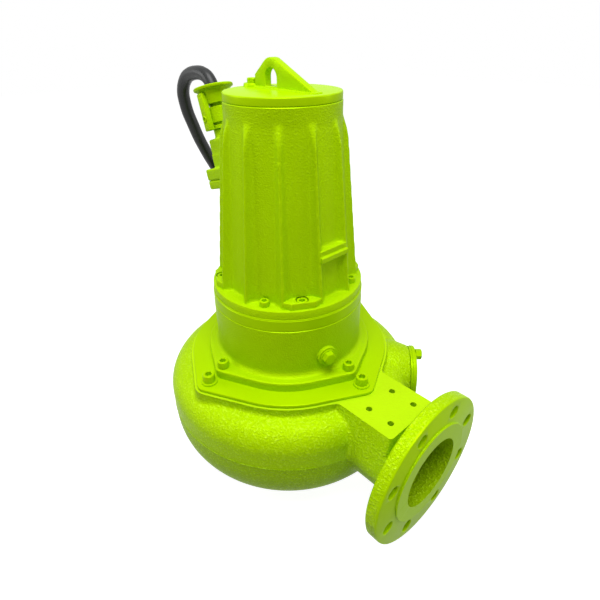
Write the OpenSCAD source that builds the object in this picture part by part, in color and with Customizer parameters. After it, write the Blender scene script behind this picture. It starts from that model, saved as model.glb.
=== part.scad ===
// Submersible sewage pump with a side discharge, a ribbed motor housing and a cable gland.
// +Z runs up the shaft, +X points out of the discharge, and the base plane is z = 0.

/* [Casing] */
// Height of the discharge centre above the base
discharge_z = 135; // [130:1:150]
// Largest radius of the casing
casing_r = 191.5; // [188:0.5:196]
// Radius of the rounded shoulder of the casing
shoulder_r = 35; // [30:1:40]
// Crown of the shoulder above the discharge centre
shoulder_h = 53; // [50:1:56]
// Radius of the rounded belly of the casing
belly_r = 90; // [84:1:94]
// Depth of the belly below the discharge centre
belly_depth = 113; // [108:1:114]
// Wall of the casing
casing_wall = 11; // [8:0.5:13]
// Height of the machined land above the discharge centre
land_h = 66.4; // [64:0.2:72]

/* [Discharge] */
// Distance of the flange face from the shaft
flange_x = 274.4; // [268:0.2:290]
// Outer diameter of the discharge flange
flange_d = 220; // [212:1:240]
// Thickness of the discharge flange
flange_t = 18; // [15:0.5:22]
// Diameter of the discharge bore
bore_d = 103; // [96:1:104]
// Distance of the bolt circle from the flange's edge
flange_bolt_in = 20; // [17:1:22]
// Number of flange bolt holes
flange_holes = 8; // [4:4:8]
// Diameter of the flange bolt holes
flange_hole_d = 18; // [14:0.5:19]
// Distance of the raised face's edge from the bolt circle
raised_in = 16; // [12:1:20]
// Height of the raised face
raised_h = 3; // [2:0.5:4]
// Outer radius of the discharge neck
neck_r = 58; // [57:0.5:62]
// Radius of the blend between neck and casing
neck_blend_r = 26; // [20:1:30]

/* [Fixing pad] */
// Width of the flat pad on the neck
pad_w = 91; // [86:1:96]
// Distance of the pad's end from the shaft
pad_end_x = 239.8; // [232:0.2:244]
// Distance of the pad holes' centre from the shaft
pad_hole_x = 204.7; // [202:0.1:208]
// Spacing of the pad holes along the neck
pad_pitch_x = 35.4; // [30:0.2:38]
// Spacing of the pad holes across the neck
pad_pitch_y = 49.4; // [44:0.2:56]
// Diameter of the pad holes
pad_hole_d = 8.5; // [6:0.5:10]
// Depth of the pad holes
pad_hole_depth = 12; // [8:1:12]

/* [Hand hole] */
// Direction of the hand hole around the shaft
hand_az = 43; // [40:1:50]
// How far the hand hole's face stands outside the casing
hand_out = 11.5; // [8:0.5:14]
// Height of the hand hole above the discharge centre
hand_h = 12; // [8:1:14]
// Radius of the hand hole cover
hand_r = 52; // [48:0.5:53]
// Radius of the hand hole itself
hand_bore_r = 32; // [26:1:33]
// Thickness of the hand hole cover
hand_cover_t = 7; // [5:0.5:10]
// Thickness of the hand hole gasket
hand_gasket_t = 1.5; // [1:0.25:2.5]
// Distance of the two cover bolts from the centre
hand_bolt_r = 41; // [40.5:0.5:42]
// Shank diameter of the hand hole bolts
hand_bolt_d = 10; // [8:1:12]

/* [Covers] */
// Distance of the oil chamber's screws from the cover's spigot
cover_bore_rim = 11.5; // [10:0.5:13]
// Width of the casing cover's rim
cover_rim = 16.5; // [14:0.5:18]
// Radius of the casing cover's four corners
cover_corner_r = 18; // [16:0.5:20]
// How far inside the rim's radius the casing cover's screws stand
cover_screw_in = 0.5; // [0:0.5:3]
// Thickness of the casing cover's rim
cover_t = 5.3; // [4:0.1:7]
// Width of the oil chamber's flange between its corners
oil_lip = 12.6; // [10:0.2:14]
// Radius of the oil chamber flange's corners
oil_corner_r = 11; // [10:0.5:12]
// How far outside the flange's radius the oil chamber's screws stand
oil_screw_out = 1.7; // [1:0.1:3]
// Thickness of the oil chamber's flange
oil_flange_t = 11.1; // [9:0.1:14]
// Outer radius of the oil chamber
oil_r = 110.2; // [107:0.2:112]
// Wall of the oil chamber
oil_wall = 12; // [9:0.5:14]
// Height of the oil chamber from its flange's underside
oil_h = 89.2; // [86:0.2:100]

/* [Oil plug] */
// Direction of the oil plug around the shaft
plug_az = -11; // [-16:1:-6]
// Height of the plug above the oil chamber's underside
plug_h = 41; // [36:1:50]
// Radius of the plug's boss
plug_boss_r = 13; // [12:0.5:15]
// How far the boss stands out of the oil chamber
plug_boss_out = 2.8; // [2.5:0.1:5]
// Thread diameter of the plug
plug_d = 14; // [10:0.5:16]

/* [Motor] */
// Thickness of the bearing bracket's rim
bracket_t = 18.1; // [16:0.1:24]
// How far the motor flange steps in from the oil chamber
motor_flange_in = 3.3; // [2:0.1:5]
// Thickness of the motor flange
motor_flange_t = 11.7; // [10:0.1:14]
// Radius of the barrel at the motor flange
barrel_low_r = 88; // [84:0.5:90]
// Radius of the barrel's neck band
barrel_top_r = 73; // [71.5:0.5:76]
// Length of the motor housing
motor_h = 248.6; // [244:0.2:260]
// Height of the plain band under the top cover
band_h = 22; // [18:1:26]
// Bore that holds the stator
stator_bore_r = 62.5; // [61:0.5:64]
// Number of cooling ribs
rib_count = 12; // [12:12:12]
// Radius of the rib ridge at the motor flange
rib_low_r = 102; // [99:0.5:103]
// Radius of the rib ridge at the neck band
rib_top_r = 79.6; // [78:0.2:82]
// Radius of the rounded ridge of a rib
rib_nose_r = 4.5; // [3.5:0.25:5.5]
// Half width of a rib at its foot
rib_foot = 13; // [10:0.5:15]
// Distance of the motor flange screws from the flange's edge
motor_screw_in = 11.9; // [11:0.1:13]
// Height of the lugs over the motor flange
lug_h = 6; // [5:0.5:9]
// Height of the ledge's top over the motor flange
ledge_h = 77; // [70:1:90]
// Thickness of the ledge between two ribs
ledge_t = 11; // [8:0.5:16]

/* [Top] */
// Radius of the top cover
cap_r = 72.4; // [71:0.2:75]
// Thickness of the top cover
cap_t = 9.8; // [8:0.2:13]
// Direction of the lifting lug around the shaft
lift_az = 0; // [-4:1:4]
// Thickness of the lifting lug
lift_t = 10; // [8:0.5:12]
// Height of the lifting lug
lift_h = 34; // [32:0.5:44]
// Length between the points where the lug's slopes would meet the cover
lift_len = 124; // [118:1:128]
// Distance of the lug's eye from the shaft
eye_x = -15.5; // [-18:0.5:-13]
// Width of the lug's eye
eye_w = 21; // [18:0.5:22]
// Distance of the vent plug from the shaft
vent_x = -57; // [-60:0.5:-54]

/* [Cable entry] */
// Distance of the entry's axis from the shaft at its joint
entry_x = 115.8; // [113:0.1:118]
// Height of the entry's joint above the base
entry_z = 446.2; // [441:0.1:450]
// Outward lean of the entry's axis
entry_tilt = 16; // [12:1:18]
// Width of the entry's flanges
entry_w = 59; // [56:1:64]
// Thickness of each entry flange
entry_t = 20.5; // [18:0.5:23]
// How far the entry's flange stands out of its tower
tower_in = 12; // [11.5:0.5:12.5]
// Height of the entry's tower above the joint
tower_h = 56.5; // [53:0.5:60]
// Radius of the gland body
gland_r = 17.5; // [17:0.25:20]
// Height of the gland body
gland_h = 29; // [27:0.5:34]
// Radius of the bell mouth
bell_r = 28.25; // [26:0.25:30]
// Height of the bell mouth
bell_h = 27.5; // [24:0.5:30]
// Diameter of the cable
cable_d = 19; // [17:0.5:19]

/* [Hydraulics] */
// Radius of the impeller
impeller_r = 98; // [90:1:100]
// Outlet width of the impeller
impeller_w = 60; // [54:1:62]
// Thickness of the impeller's shrouds
shroud_t = 7; // [5:0.5:8]
// Thickness of the impeller's blades
blade_t = 8; // [6:0.5:10]
// Thickness of the suction flange
suction_t = 20; // [18:0.5:21]
// Diameter of the suction bore
suction_d = 103; // [98:1:104]
// Thread hole diameter of the suction flange
suction_hole_d = 14; // [12:0.5:16]
// Radius of the suction cover's spigot
spigot_r = 80; // [78:0.5:84]

/* [Shaft and motor parts] */
// Shaft radius inside the impeller
shaft_low_r = 12.5; // [11:0.5:13.5]
// Shaft radius under the seals
shaft_seal_r = 15; // [14.5:0.25:16]
// Shaft radius inside the lower bearing
shaft_bearing_r = 20; // [19:0.5:21]
// Shaft radius inside the rotor
shaft_core_r = 18; // [17:0.5:19]
// Shaft radius inside the upper bearing
shaft_top_r = 15; // [14:0.5:16]
// Length of the stator's iron core
core_h = 120; // [100:1:124]
// Bore of the stator core
core_bore_r = 40; // [38:0.5:43]
// Air gap between rotor and stator
air_gap = 0.5; // [0.4:0.05:1]
// Outer radius of the lower bearing
low_bearing_r = 45; // [44:0.5:48]
// Width of the lower bearing
low_bearing_w = 23; // [20:0.5:24]
// Outer radius of the upper bearing
top_bearing_r = 36; // [34:0.5:37]
// Width of the upper bearing
top_bearing_w = 19; // [16:0.5:20]
// Number of balls in each bearing
ball_count = 8; // [6:1:8]

/* [Hidden] */
$fn = 64;
// Clearances: a sliding fit, a running gap and a screw in its hole
fit = 0.05;
gap = 0.3;
screw_gap = 0.15;
over = 1;

green = [0.60, 0.80, 0.05];
steel = [0.72, 0.73, 0.75];
dark = [0.10, 0.10, 0.11];

// Sizes that follow from the ones above
flange_pcd = flange_d - 2 * flange_bolt_in;
raised_d = flange_pcd - 2 * raised_in;
hand_x = casing_r + hand_out;
oil_flange_r = oil_r + oil_lip;
oil_screw_x = oil_flange_r + oil_screw_out;
cover_bore_r = oil_screw_x + cover_bore_rim;
cover_r = cover_bore_r + cover_rim;
cover_screw_x = cover_r - cover_screw_in;
plug_boss_x = oil_r + plug_boss_out;
bracket_r = oil_r;
motor_flange_r = bracket_r - motor_flange_in;
motor_screw_x = motor_flange_r - motor_screw_in;
tower_w = entry_w - 2 * tower_in;
// Foot of the tower, and the seat of the entry's screws beside it
tower_step = 2.5;
entry_screw_in = 5;
// Seat cast under the entry, grommet, width and reach of the clamp bars, and
// where the discharge bore meets the casing's inside
seat_t = 13;
grommet_l = 16;
clamp_w = 13;
clamp_out = 7;
bore_in_x = 175;
// Screws: length under the head, head radius and head height
screw_l = 22;
cover_head = [8.5, 10];
oil_head = [8, 11];
motor_head = [6.5, 8];
sunk_head = [6.5, 5.6];
entry_head = [4.4, 5];
clamp_head = [4.6, 3.5];
// Lifting lug: round apex, bar over the eye, sill under it and middle of its foot,
// and the boss of the vent plug that it ends beside
lug_apex_r = 19;
lug_bar = 11;
lug_sill = 3;
lug_x = -2.5;
vent_boss_r = 10.5;

// Levels along the shaft
land_z = discharge_z + land_h;
oil_z = land_z + cover_t;
oil_flange_z = oil_z + oil_flange_t;
bracket_z = oil_z + oil_h;
motor_z = bracket_z + bracket_t;
motor_flange_z = motor_z + motor_flange_t;
cap_z = motor_z + motor_h;
cap_top_z = cap_z + cap_t;
band_z = cap_z - band_h;
rib_slope = (rib_low_r - rib_top_r) / (band_z - motor_flange_z);
// Casing profile centres
belly_x = casing_r - belly_r;
belly_z = discharge_z - belly_depth + belly_r;
shoulder_x = casing_r - shoulder_r;
shoulder_z = discharge_z + shoulder_h - shoulder_r;
crown_z = discharge_z + shoulder_h;
// Impeller levels
spigot_top_z = crown_z - casing_wall;
shroud_top_z = spigot_top_z - 3;
blade_top_z = shroud_top_z - shroud_t;
blade_low_z = blade_top_z - impeller_w;
shroud_low_z = blade_low_z - shroud_t;
skirt_r = suction_d / 2 + 5;
skirt_z = shroud_low_z - 14;
hub_z = blade_low_z + 24;
hub_r = shaft_low_r + 13.5;
// Suction cover
suction_r = flange_d / 2;
cover_neck_z = shroud_low_z - 2;
wear_t = 6;
wear_h = 12;
// Seals
seat_z = spigot_top_z + 5;
seat_h = 8;
seat_r = shaft_seal_r + 11;
ring_h = 12;
ring_r = shaft_seal_r + 8;
low_ring_z = seat_z + seat_h;
// Lower bearing
low_bearing_z = bracket_z + 6;
seal_top_z = bracket_z - 8;
top_ring_z = seal_top_z - seat_h - ring_h;
bellows_z = low_ring_z + ring_h;
// Stator and rotor
core_z = motor_z + 52;
core_top_z = core_z + core_h;
winding_h = 22;
end_ring_h = 8;
// Upper bearing
top_bearing_z = cap_z - 41;
web_low_z = top_bearing_z - 3;
web_top_z = cap_z - 14;
lip_z = top_bearing_z + top_bearing_w + 3;
shaft_end_z = top_bearing_z + top_bearing_w + 4;
// Screws of the cable entry, near the corners of its flange
entry_pitch = entry_w / 2 - entry_screw_in;
// Cable route: round numbers chosen by hand
CABLE_ROUTE = [
    [-130, 0, 496], [-140, 0, 531], [-149, 0, 561], [-159, 0, 575], [-174, 0, 581],
    [-194, 0, 581], [-215, 0, 576], [-229, 0, 565], [-237, 1, 552], [-240, 3, 540],
    [-241, 7, 521], [-240, 13, 502], [-240, 20, 482], [-242, 29, 464], [-244, 38, 447],
    [-246, 48, 430], [-248, 62, 404], [-249, 77, 370], [-249, 90, 320], [-249, 99, 260],
    [-250, 105, 205], [-254, 109, 160], [-266, 112, 122], [-288, 114, 96], [-317, 120, 80]];
CABLE_STEPS = 3;
COIL_CENTRE = [-270, 250];
coil_turn_r = 138;
coil_layers = 4;
coil_in_r = coil_turn_r - 1.5 * cable_d;
coil_out_r = coil_turn_r + 1.5 * cable_d;
coil_h = coil_layers * cable_d;
TAIL_ROUTE = [[-367, 306, 10], [-333, 330, 10], [-295, 338, 10], [-264, 330, 10], [-242, 312, 10]];

// Repeats its children at equal angles around the shaft
module around(count, start = 0) {
    for (i = [0:count - 1]) rotate([0, 0, start + i * 360 / count]) children();
}

// Turns +Z to point along +X
module along_x() {
    rotate([0, 90, 0]) children();
}

// Round plate with four rounded corners joined by straight tangents
module lobed_plate(r, corner_r, corner_x, t) {
    lean = acos((r - corner_r) / corner_x);
    cylinder(r = r, h = t, $fn = 128);
    around(4) {
        translate([corner_x, 0, 0]) cylinder(r = corner_r, h = t);
        linear_extrude(t) polygon([
            [0, 0], [r * cos(lean), -r * sin(lean)],
            [corner_x + corner_r * cos(lean), -corner_r * sin(lean)],
            [corner_x + corner_r * cos(lean), corner_r * sin(lean)],
            [r * cos(lean), r * sin(lean)]]);
    }
}

// Socket head screw standing on z = 0 with its shank below
module socket_screw(head_r, head_h, shank_r, shank_h) {
    difference() {
        union() {
            cylinder(r = head_r, h = head_h - 1);
            translate([0, 0, head_h - 1]) cylinder(r1 = head_r, r2 = head_r - 1, h = 1);
            translate([0, 0, -shank_h]) cylinder(r = shank_r, h = shank_h + over);
        }
        translate([0, 0, head_h - 5]) cylinder(r = head_r * 0.55, h = 6, $fn = 6);
    }
}

// Hexagon head screw standing on z = 0 with its shank below
module hex_screw(flats, head_h, shank_r, shank_h) {
    intersection() {
        cylinder(d = flats / cos(30), h = head_h, $fn = 6);
        cylinder(r1 = flats / 2 + head_h + 0.6, r2 = flats / 2 + 0.2, h = head_h);
    }
    translate([0, 0, -shank_h]) cylinder(r = shank_r, h = shank_h + over);
}

// Ring with a rectangular section
module ring(r_in, r_out, h) {
    difference() {
        cylinder(r = r_out, h = h, $fn = 96);
        translate([0, 0, -over]) cylinder(r = r_in, h = h + 2 * over, $fn = 96);
    }
}

// Half section of the casing, shrunk by inset
module casing_section(inset) {
    translate([belly_x, belly_z]) circle(r = belly_r - inset, $fn = 128);
    translate([shoulder_x, shoulder_z]) circle(r = shoulder_r - inset, $fn = 128);
    translate([0, belly_z]) square([casing_r - inset, shoulder_z - belly_z]);
    translate([0, belly_z]) square([shoulder_x, crown_z - inset - belly_z]);
    translate([0, belly_z - belly_r + inset]) square([belly_x, belly_r - inset]);
}

// Frame of the hand hole: +Z out of the casing
module hand_frame() {
    translate([0, 0, discharge_z + hand_h]) rotate([0, 0, hand_az])
        translate([hand_x, 0, 0]) along_x() children();
}

// Frame of the cable entry: +Z along its leaning axis, x pointing to the shaft
module entry_frame() {
    translate([-entry_x, 0, entry_z]) rotate([0, -entry_tilt, 0]) children();
}

// Frame of the oil plug: +Z out of the oil chamber
module plug_frame() {
    translate([0, 0, oil_z + plug_h]) rotate([0, 0, plug_az])
        translate([plug_boss_x, 0, 0]) along_x() children();
}

// Discharge neck that widens into the casing
module neck_outside() {
    foot_x = sqrt(casing_r * casing_r - neck_r * neck_r) + neck_blend_r / 2;
    translate([0, 0, discharge_z]) along_x() cylinder(r = neck_r, h = flange_x - flange_t + over);
    // Concave blend, cut off level with the land
    intersection() {
        translate([0, 0, discharge_z]) along_x() translate([0, 0, foot_x]) rotate_extrude() difference() {
            translate([0, -2 * neck_blend_r]) square([neck_r + neck_blend_r, 2 * neck_blend_r]);
            translate([neck_r + neck_blend_r, 0]) circle(r = neck_blend_r);
        }
        translate([0, -casing_r, 0]) cube([flange_x, 2 * casing_r, discharge_z + shoulder_h]);
    }
    translate([60, -pad_w / 2, discharge_z]) cube([pad_end_x - 60, pad_w, land_h]);
}

module discharge_flange() {
    translate([flange_x - flange_t, 0, discharge_z]) along_x() {
        cylinder(d = flange_d, h = flange_t - 1, $fn = 128);
        translate([0, 0, flange_t - 1]) cylinder(d1 = flange_d, d2 = flange_d - 2, h = 1, $fn = 128);
        translate([0, 0, flange_t]) cylinder(d1 = raised_d + 6, d2 = raised_d, h = raised_h, $fn = 128);
    }
}

module volute_casing() color(green) difference() {
    union() {
        rotate_extrude($fn = 160) casing_section(0);
        translate([0, 0, crown_z - shoulder_r])
            lobed_plate(cover_r, cover_corner_r, cover_screw_x, land_z - crown_z + shoulder_r);
        translate([0, 0, suction_t]) cylinder(r = suction_r + 2, h = belly_r / 2);
        neck_outside();
        discharge_flange();
        hand_frame() translate([0, 0, -80]) cylinder(r = hand_r, h = 80);
    }
    // Inside of the casing
    rotate_extrude($fn = 160) casing_section(casing_wall);
    translate([bore_in_x, 0, discharge_z]) along_x() cylinder(d = bore_d, h = flange_x, $fn = 96);
    translate([0, 0, discharge_z]) cylinder(r = cover_bore_r, h = 200, $fn = 128);
    translate([0, 0, -over]) cylinder(r = spigot_r, h = discharge_z, $fn = 96);
    // Flange bolt holes
    translate([flange_x - flange_t - over, 0, discharge_z]) rotate([180 / flange_holes, 0, 0])
        for (i = [0:flange_holes - 1]) rotate([i * 360 / flange_holes, 0, 0])
            translate([0, 0, flange_pcd / 2]) along_x()
                cylinder(d = flange_hole_d, h = flange_t + 2 * over, $fn = 32);
    // Fixing pad holes
    for (x = [-1, 1], y = [-1, 1])
        translate([pad_hole_x + x * pad_pitch_x / 2, y * pad_pitch_y / 2, land_z - pad_hole_depth])
            cylinder(d = pad_hole_d, h = pad_hole_depth + over, $fn = 32);
    // Hand hole and its bolt holes
    hand_frame() translate([0, 0, -60]) cylinder(r = hand_bore_r, h = 60 + over);
    hand_frame() for (s = [-1, 1]) translate([s * hand_bolt_r, 0, -16])
        cylinder(r = hand_bolt_d / 2 + screw_gap, h = 16 + over, $fn = 32);
    // Screw holes of the two bolted covers
    around(4) translate([cover_screw_x, 0, land_z - 20])
        cylinder(r = 6 + screw_gap, h = 20 + over, $fn = 32);
    around(4) translate([suction_r - 12, 0, 0])
        cylinder(r = 5 + screw_gap, h = suction_t + 13, $fn = 32);
}

module suction_cover() color(green) difference() {
    rotate_extrude($fn = 128) polygon([
        [suction_d / 2, 0], [suction_r - 1, 0], [suction_r, 1], [suction_r, suction_t - gap],
        [spigot_r - fit, suction_t - gap], [spigot_r - fit, suction_t + 20],
        [skirt_r + wear_t + 8, suction_t + 40], [skirt_r + wear_t + 8, cover_neck_z],
        [skirt_r + wear_t + fit, cover_neck_z], [skirt_r + wear_t + fit, cover_neck_z - wear_h],
        [suction_d / 2, cover_neck_z - wear_h - 8]]);
    around(8, 22.5) translate([flange_pcd / 2, 0, -over])
        cylinder(d = suction_hole_d, h = suction_t - 3 + over, $fn = 32);
    around(4) translate([suction_r - 12, 0, -over]) {
        cylinder(r = 5 + screw_gap, h = suction_t + 2, $fn = 32);
        cylinder(r = 8.5 + screw_gap, h = 11 + over, $fn = 32);
    }
}

module suction_cover_screws() color(steel)
    around(4) translate([suction_r - 12, 0, 11]) rotate([180, 0, 0])
        socket_screw(8.5, 10, 5, suction_t);

module wear_ring() color("darkgoldenrod")
    translate([0, 0, cover_neck_z - wear_h]) ring(skirt_r + gap, skirt_r + wear_t, wear_h);

module casing_cover() color(green) difference() {
    union() {
        translate([0, 0, land_z]) lobed_plate(cover_r, cover_corner_r, cover_screw_x, cover_t);
        translate([0, 0, spigot_top_z]) cylinder(r = cover_bore_r - fit, h = land_z - spigot_top_z + over,
            $fn = 128);
    }
    translate([0, 0, seat_z]) cylinder(r = oil_r - oil_wall - 10, h = land_z, $fn = 96);
    translate([0, 0, spigot_top_z - over]) cylinder(r = shaft_seal_r + 2, h = land_z, $fn = 64);
    // Groove of the O-ring
    translate([0, 0, land_z - 12]) difference() {
        cylinder(r = cover_bore_r + over, h = 5.4);
        translate([0, 0, -over]) cylinder(r = cover_bore_r - 4.4, h = 8);
    }
    around(4) {
        translate([cover_screw_x, 0, land_z - over])
            cylinder(r = 6 + screw_gap, h = cover_t + 2 * over, $fn = 32);
        translate([oil_screw_x, 0, land_z - 14]) cylinder(r = 5 + screw_gap, h = 30, $fn = 32);
    }
}

module casing_o_ring() color(dark)
    translate([0, 0, land_z - 9.3]) rotate_extrude($fn = 128)
        translate([cover_bore_r - 2.3, 0]) circle(r = 2, $fn = 24);

module casing_cover_washers() color(green)
    around(4) translate([cover_screw_x, 0, oil_z]) ring(6.6, 11, 2);

module casing_cover_screws() color(green)
    around(4) translate([cover_screw_x, 0, oil_z + 2])
        socket_screw(cover_head[0], cover_head[1], 6, screw_l);

module oil_chamber_housing() color(green) difference() {
    union() {
        translate([0, 0, oil_z]) {
            lobed_plate(oil_flange_r, oil_corner_r, oil_screw_x, oil_flange_t);
            cylinder(r = oil_r, h = oil_h - 1, $fn = 128);
            translate([0, 0, oil_h - 1]) cylinder(r1 = oil_r, r2 = oil_r - 1, h = 1, $fn = 128);
            // Fillet at the foot of the chamber
            translate([0, 0, oil_flange_t]) rotate_extrude($fn = 128) difference() {
                translate([oil_r - 1, -1]) square([5, 5]);
                translate([oil_r + 4, 4]) circle(r = 4);
            }
        }
        plug_frame() translate([0, 0, -plug_boss_x + oil_r - oil_wall + 3]) {
            cylinder(r = plug_boss_r, h = plug_boss_x - oil_r + oil_wall - 4);
            translate([0, 0, plug_boss_x - oil_r + oil_wall - 4])
                cylinder(r1 = plug_boss_r, r2 = plug_boss_r - 1, h = 1);
        }
    }
    translate([0, 0, oil_z - over]) cylinder(r = oil_r - oil_wall, h = oil_h + 2 * over, $fn = 96);
    plug_frame() translate([0, 0, -40]) cylinder(r = plug_d / 2 + screw_gap, h = 60);
    around(4) translate([oil_screw_x, 0, oil_z - over])
        cylinder(r = 5 + screw_gap, h = oil_flange_t + 2 * over, $fn = 32);
    around(4, 60) translate([oil_r - 6, 0, bracket_z - 20])
        cylinder(r = 2.5 + screw_gap, h = 20 + over, $fn = 24);
}

module oil_chamber_screws() color(green)
    around(4) translate([oil_screw_x, 0, oil_flange_z]) socket_screw(oil_head[0], oil_head[1], 5, screw_l);

module oil_plug_seal() color("peru")
    plug_frame() ring(plug_d / 2 + fit, plug_d / 2 + 3, 1.5);

module oil_plug() color(green)
    plug_frame() translate([0, 0, 1.5]) hex_screw(17, 9, plug_d / 2, 16);

module bearing_bracket() color(green) difference() {
    union() {
        translate([0, 0, bracket_z]) {
            cylinder(r = bracket_r, h = bracket_t - 3, $fn = 128);
            translate([0, 0, bracket_t - 3])
                cylinder(r1 = bracket_r, r2 = motor_flange_r, h = 3, $fn = 128);
        }
        translate([0, 0, bracket_z - 6]) cylinder(r = oil_r - oil_wall - fit, h = 7, $fn = 128);
        translate([0, 0, seal_top_z]) cylinder(r = low_bearing_r + 12, h = bracket_z - seal_top_z + over);
        translate([0, 0, bracket_z]) cylinder(r = low_bearing_r + 9, h = low_bearing_w + 16);
    }
    translate([0, 0, low_bearing_z]) cylinder(r = low_bearing_r + fit, h = 80, $fn = 96);
    translate([0, 0, seal_top_z - seat_h]) cylinder(r = shaft_bearing_r + 2, h = 40, $fn = 64);
    // Groove of the circlip
    translate([0, 0, low_bearing_z + low_bearing_w + 0.1])
        cylinder(r = low_bearing_r + 2.6, h = 2.7, $fn = 96);
    // Pocket of the upper seal seat
    translate([0, 0, seal_top_z - over]) cylinder(r = seat_r + fit, h = seat_h + over, $fn = 64);
    // Screw holes through the rim and tapped holes for the motor flange
    around(4, 60) translate([oil_r - 6, 0, bracket_z - over])
        cylinder(r = 2.5 + screw_gap, h = 12, $fn = 24);
    around(4, 30) translate([motor_screw_x, 0, motor_z - 12])
        cylinder(r = 4 + screw_gap, h = 12 + over, $fn = 32);
    around(4, 60) translate([motor_screw_x, 0, motor_z - 12])
        cylinder(r = 4 + screw_gap, h = 12 + over, $fn = 32);
    translate([-70, 0, bracket_z - 20]) cylinder(r = 6 + screw_gap, h = 60, $fn = 32);
}

// One cooling rib: a wedge with a rounded ridge, leaning with the barrel
module rib() {
    lean = atan(rib_slope);
    length = (cap_z - motor_flange_z) / cos(lean);
    depth = 30;
    translate([rib_low_r, 0, motor_flange_z - 2]) rotate([0, -lean, 0]) linear_extrude(length) {
        translate([-rib_nose_r, 0]) circle(r = rib_nose_r, $fn = 32);
        polygon([[-rib_nose_r, rib_nose_r], [-depth, rib_foot + 8], [-depth, -rib_foot - 8],
            [-rib_nose_r, -rib_nose_r]]);
    }
}

// Outline that trims the ribs' heads under the neck band
module rib_envelope() {
    rotate_extrude($fn = 96) polygon([
        [0, motor_flange_z - 4], [rib_low_r + 3, motor_flange_z - 4], [rib_low_r + 3, motor_flange_z],
        [rib_top_r + 2, band_z - 14], [barrel_top_r + 0.2, band_z + 1], [0, band_z + 1]]);
}

module hex_lug() {
    translate([motor_screw_x, 0, motor_flange_z - over]) linear_extrude(lug_h + over) polygon([
        [-10, -17], [5, -17], [9, -10], [9, 10], [5, 17], [-10, 17]]);
}

module motor_housing() color(green) difference() {
    union() {
        translate([0, 0, motor_z]) cylinder(r = motor_flange_r, h = motor_flange_t - 1, $fn = 128);
        translate([0, 0, motor_flange_z - 1])
            cylinder(r1 = motor_flange_r, r2 = motor_flange_r - 1, h = 1, $fn = 128);
        translate([0, 0, motor_flange_z - over])
            cylinder(r1 = barrel_low_r, r2 = barrel_top_r, h = band_z - motor_flange_z + over, $fn = 96);
        translate([0, 0, band_z]) cylinder(r = barrel_top_r, h = band_h, $fn = 96);
        intersection() {
            around(rib_count, 180 / rib_count) rib();
            rib_envelope();
        }
        around(4, 60) hex_lug();
        // Ledge between the two ribs over the discharge
        intersection() {
            translate([0, -26, motor_flange_z + ledge_h - ledge_t]) cube([rib_low_r, 52, ledge_t]);
            cylinder(r = rib_low_r - 6, h = cap_z, $fn = 96);
            linear_extrude(cap_z) polygon([[0, 0], [120, -32], [120, 32]]);
        }
        // Cast seat of the cable entry
        entry_frame() translate([-entry_w / 2, -entry_w / 2, -seat_t])
            cube([entry_w / 2 + entry_x - 66, entry_w, seat_t]);
    }
    // Stator bore, bearing seat and the terminal chamber
    translate([0, 0, motor_z - over])
        cylinder(r = stator_bore_r, h = web_low_z - motor_z + over, $fn = 96);
    translate([0, 0, web_low_z - over])
        cylinder(r = top_bearing_r + fit, h = lip_z - web_low_z + over, $fn = 96);
    translate([0, 0, lip_z - over]) cylinder(r = top_bearing_r - 6, h = 60, $fn = 64);
    translate([0, 0, web_top_z]) cylinder(r = stator_bore_r, h = 30, $fn = 96);
    // Cable passage
    entry_frame() translate([-4, 0, -seat_t / 2]) along_x() cylinder(r = 5, h = entry_x - 50);
    entry_frame() translate([0, 0, -seat_t / 2]) cylinder(r = 9, h = seat_t);
    entry_frame() for (y = [-1, 1]) translate([-entry_pitch, y * entry_pitch, -12])
        cylinder(r = 3 + screw_gap, h = 14, $fn = 24);
    // Flange screws
    around(4, 30) translate([motor_screw_x, 0, motor_z - over])
        cylinder(r = 4 + screw_gap, h = 20, $fn = 32);
    around(4, 60) translate([motor_screw_x, 0, motor_z - over])
        cylinder(r = 4 + screw_gap, h = 30, $fn = 32);
    around(4, 60) translate([motor_screw_x, 0, motor_flange_z])
        cylinder(r = 7.5, h = lug_h + over, $fn = 32);
    // Chip clearance behind the protruding screws
    around(4, 30) translate([motor_screw_x, 0, motor_flange_z]) cylinder(r = 7, h = 14);
}

module motor_flange_screws() color(green)
    around(4, 30) translate([motor_screw_x, 0, motor_flange_z])
        socket_screw(motor_head[0], motor_head[1], 4, screw_l);

module bracket_screws() color(green)
    around(4, 60) translate([motor_screw_x, 0, motor_flange_z])
        socket_screw(sunk_head[0], sunk_head[1], 4, screw_l);

module top_cover() color(green) difference() {
    union() {
        translate([0, 0, cap_z]) {
            cylinder(r = cap_r, h = cap_t - 1, $fn = 96);
            translate([0, 0, cap_t - 1]) cylinder(r1 = cap_r, r2 = cap_r - 1, h = 1, $fn = 96);
        }
        translate([0, 0, cap_z - 4]) cylinder(r = stator_bore_r - fit, h = 5, $fn = 96);
        translate([vent_x, 0, cap_top_z - over]) cylinder(r = vent_boss_r, h = 4 + over);
    }
    translate([vent_x, 0, cap_z - 10]) cylinder(r = 4 + screw_gap, h = 40, $fn = 32);
    translate([0, 0, cap_z - 6]) cylinder(r = stator_bore_r - 8, h = 6);
}

module vent_plug() color(green)
    translate([vent_x, 0, cap_top_z + 4]) hex_screw(12, 6, 4, 12);

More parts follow.
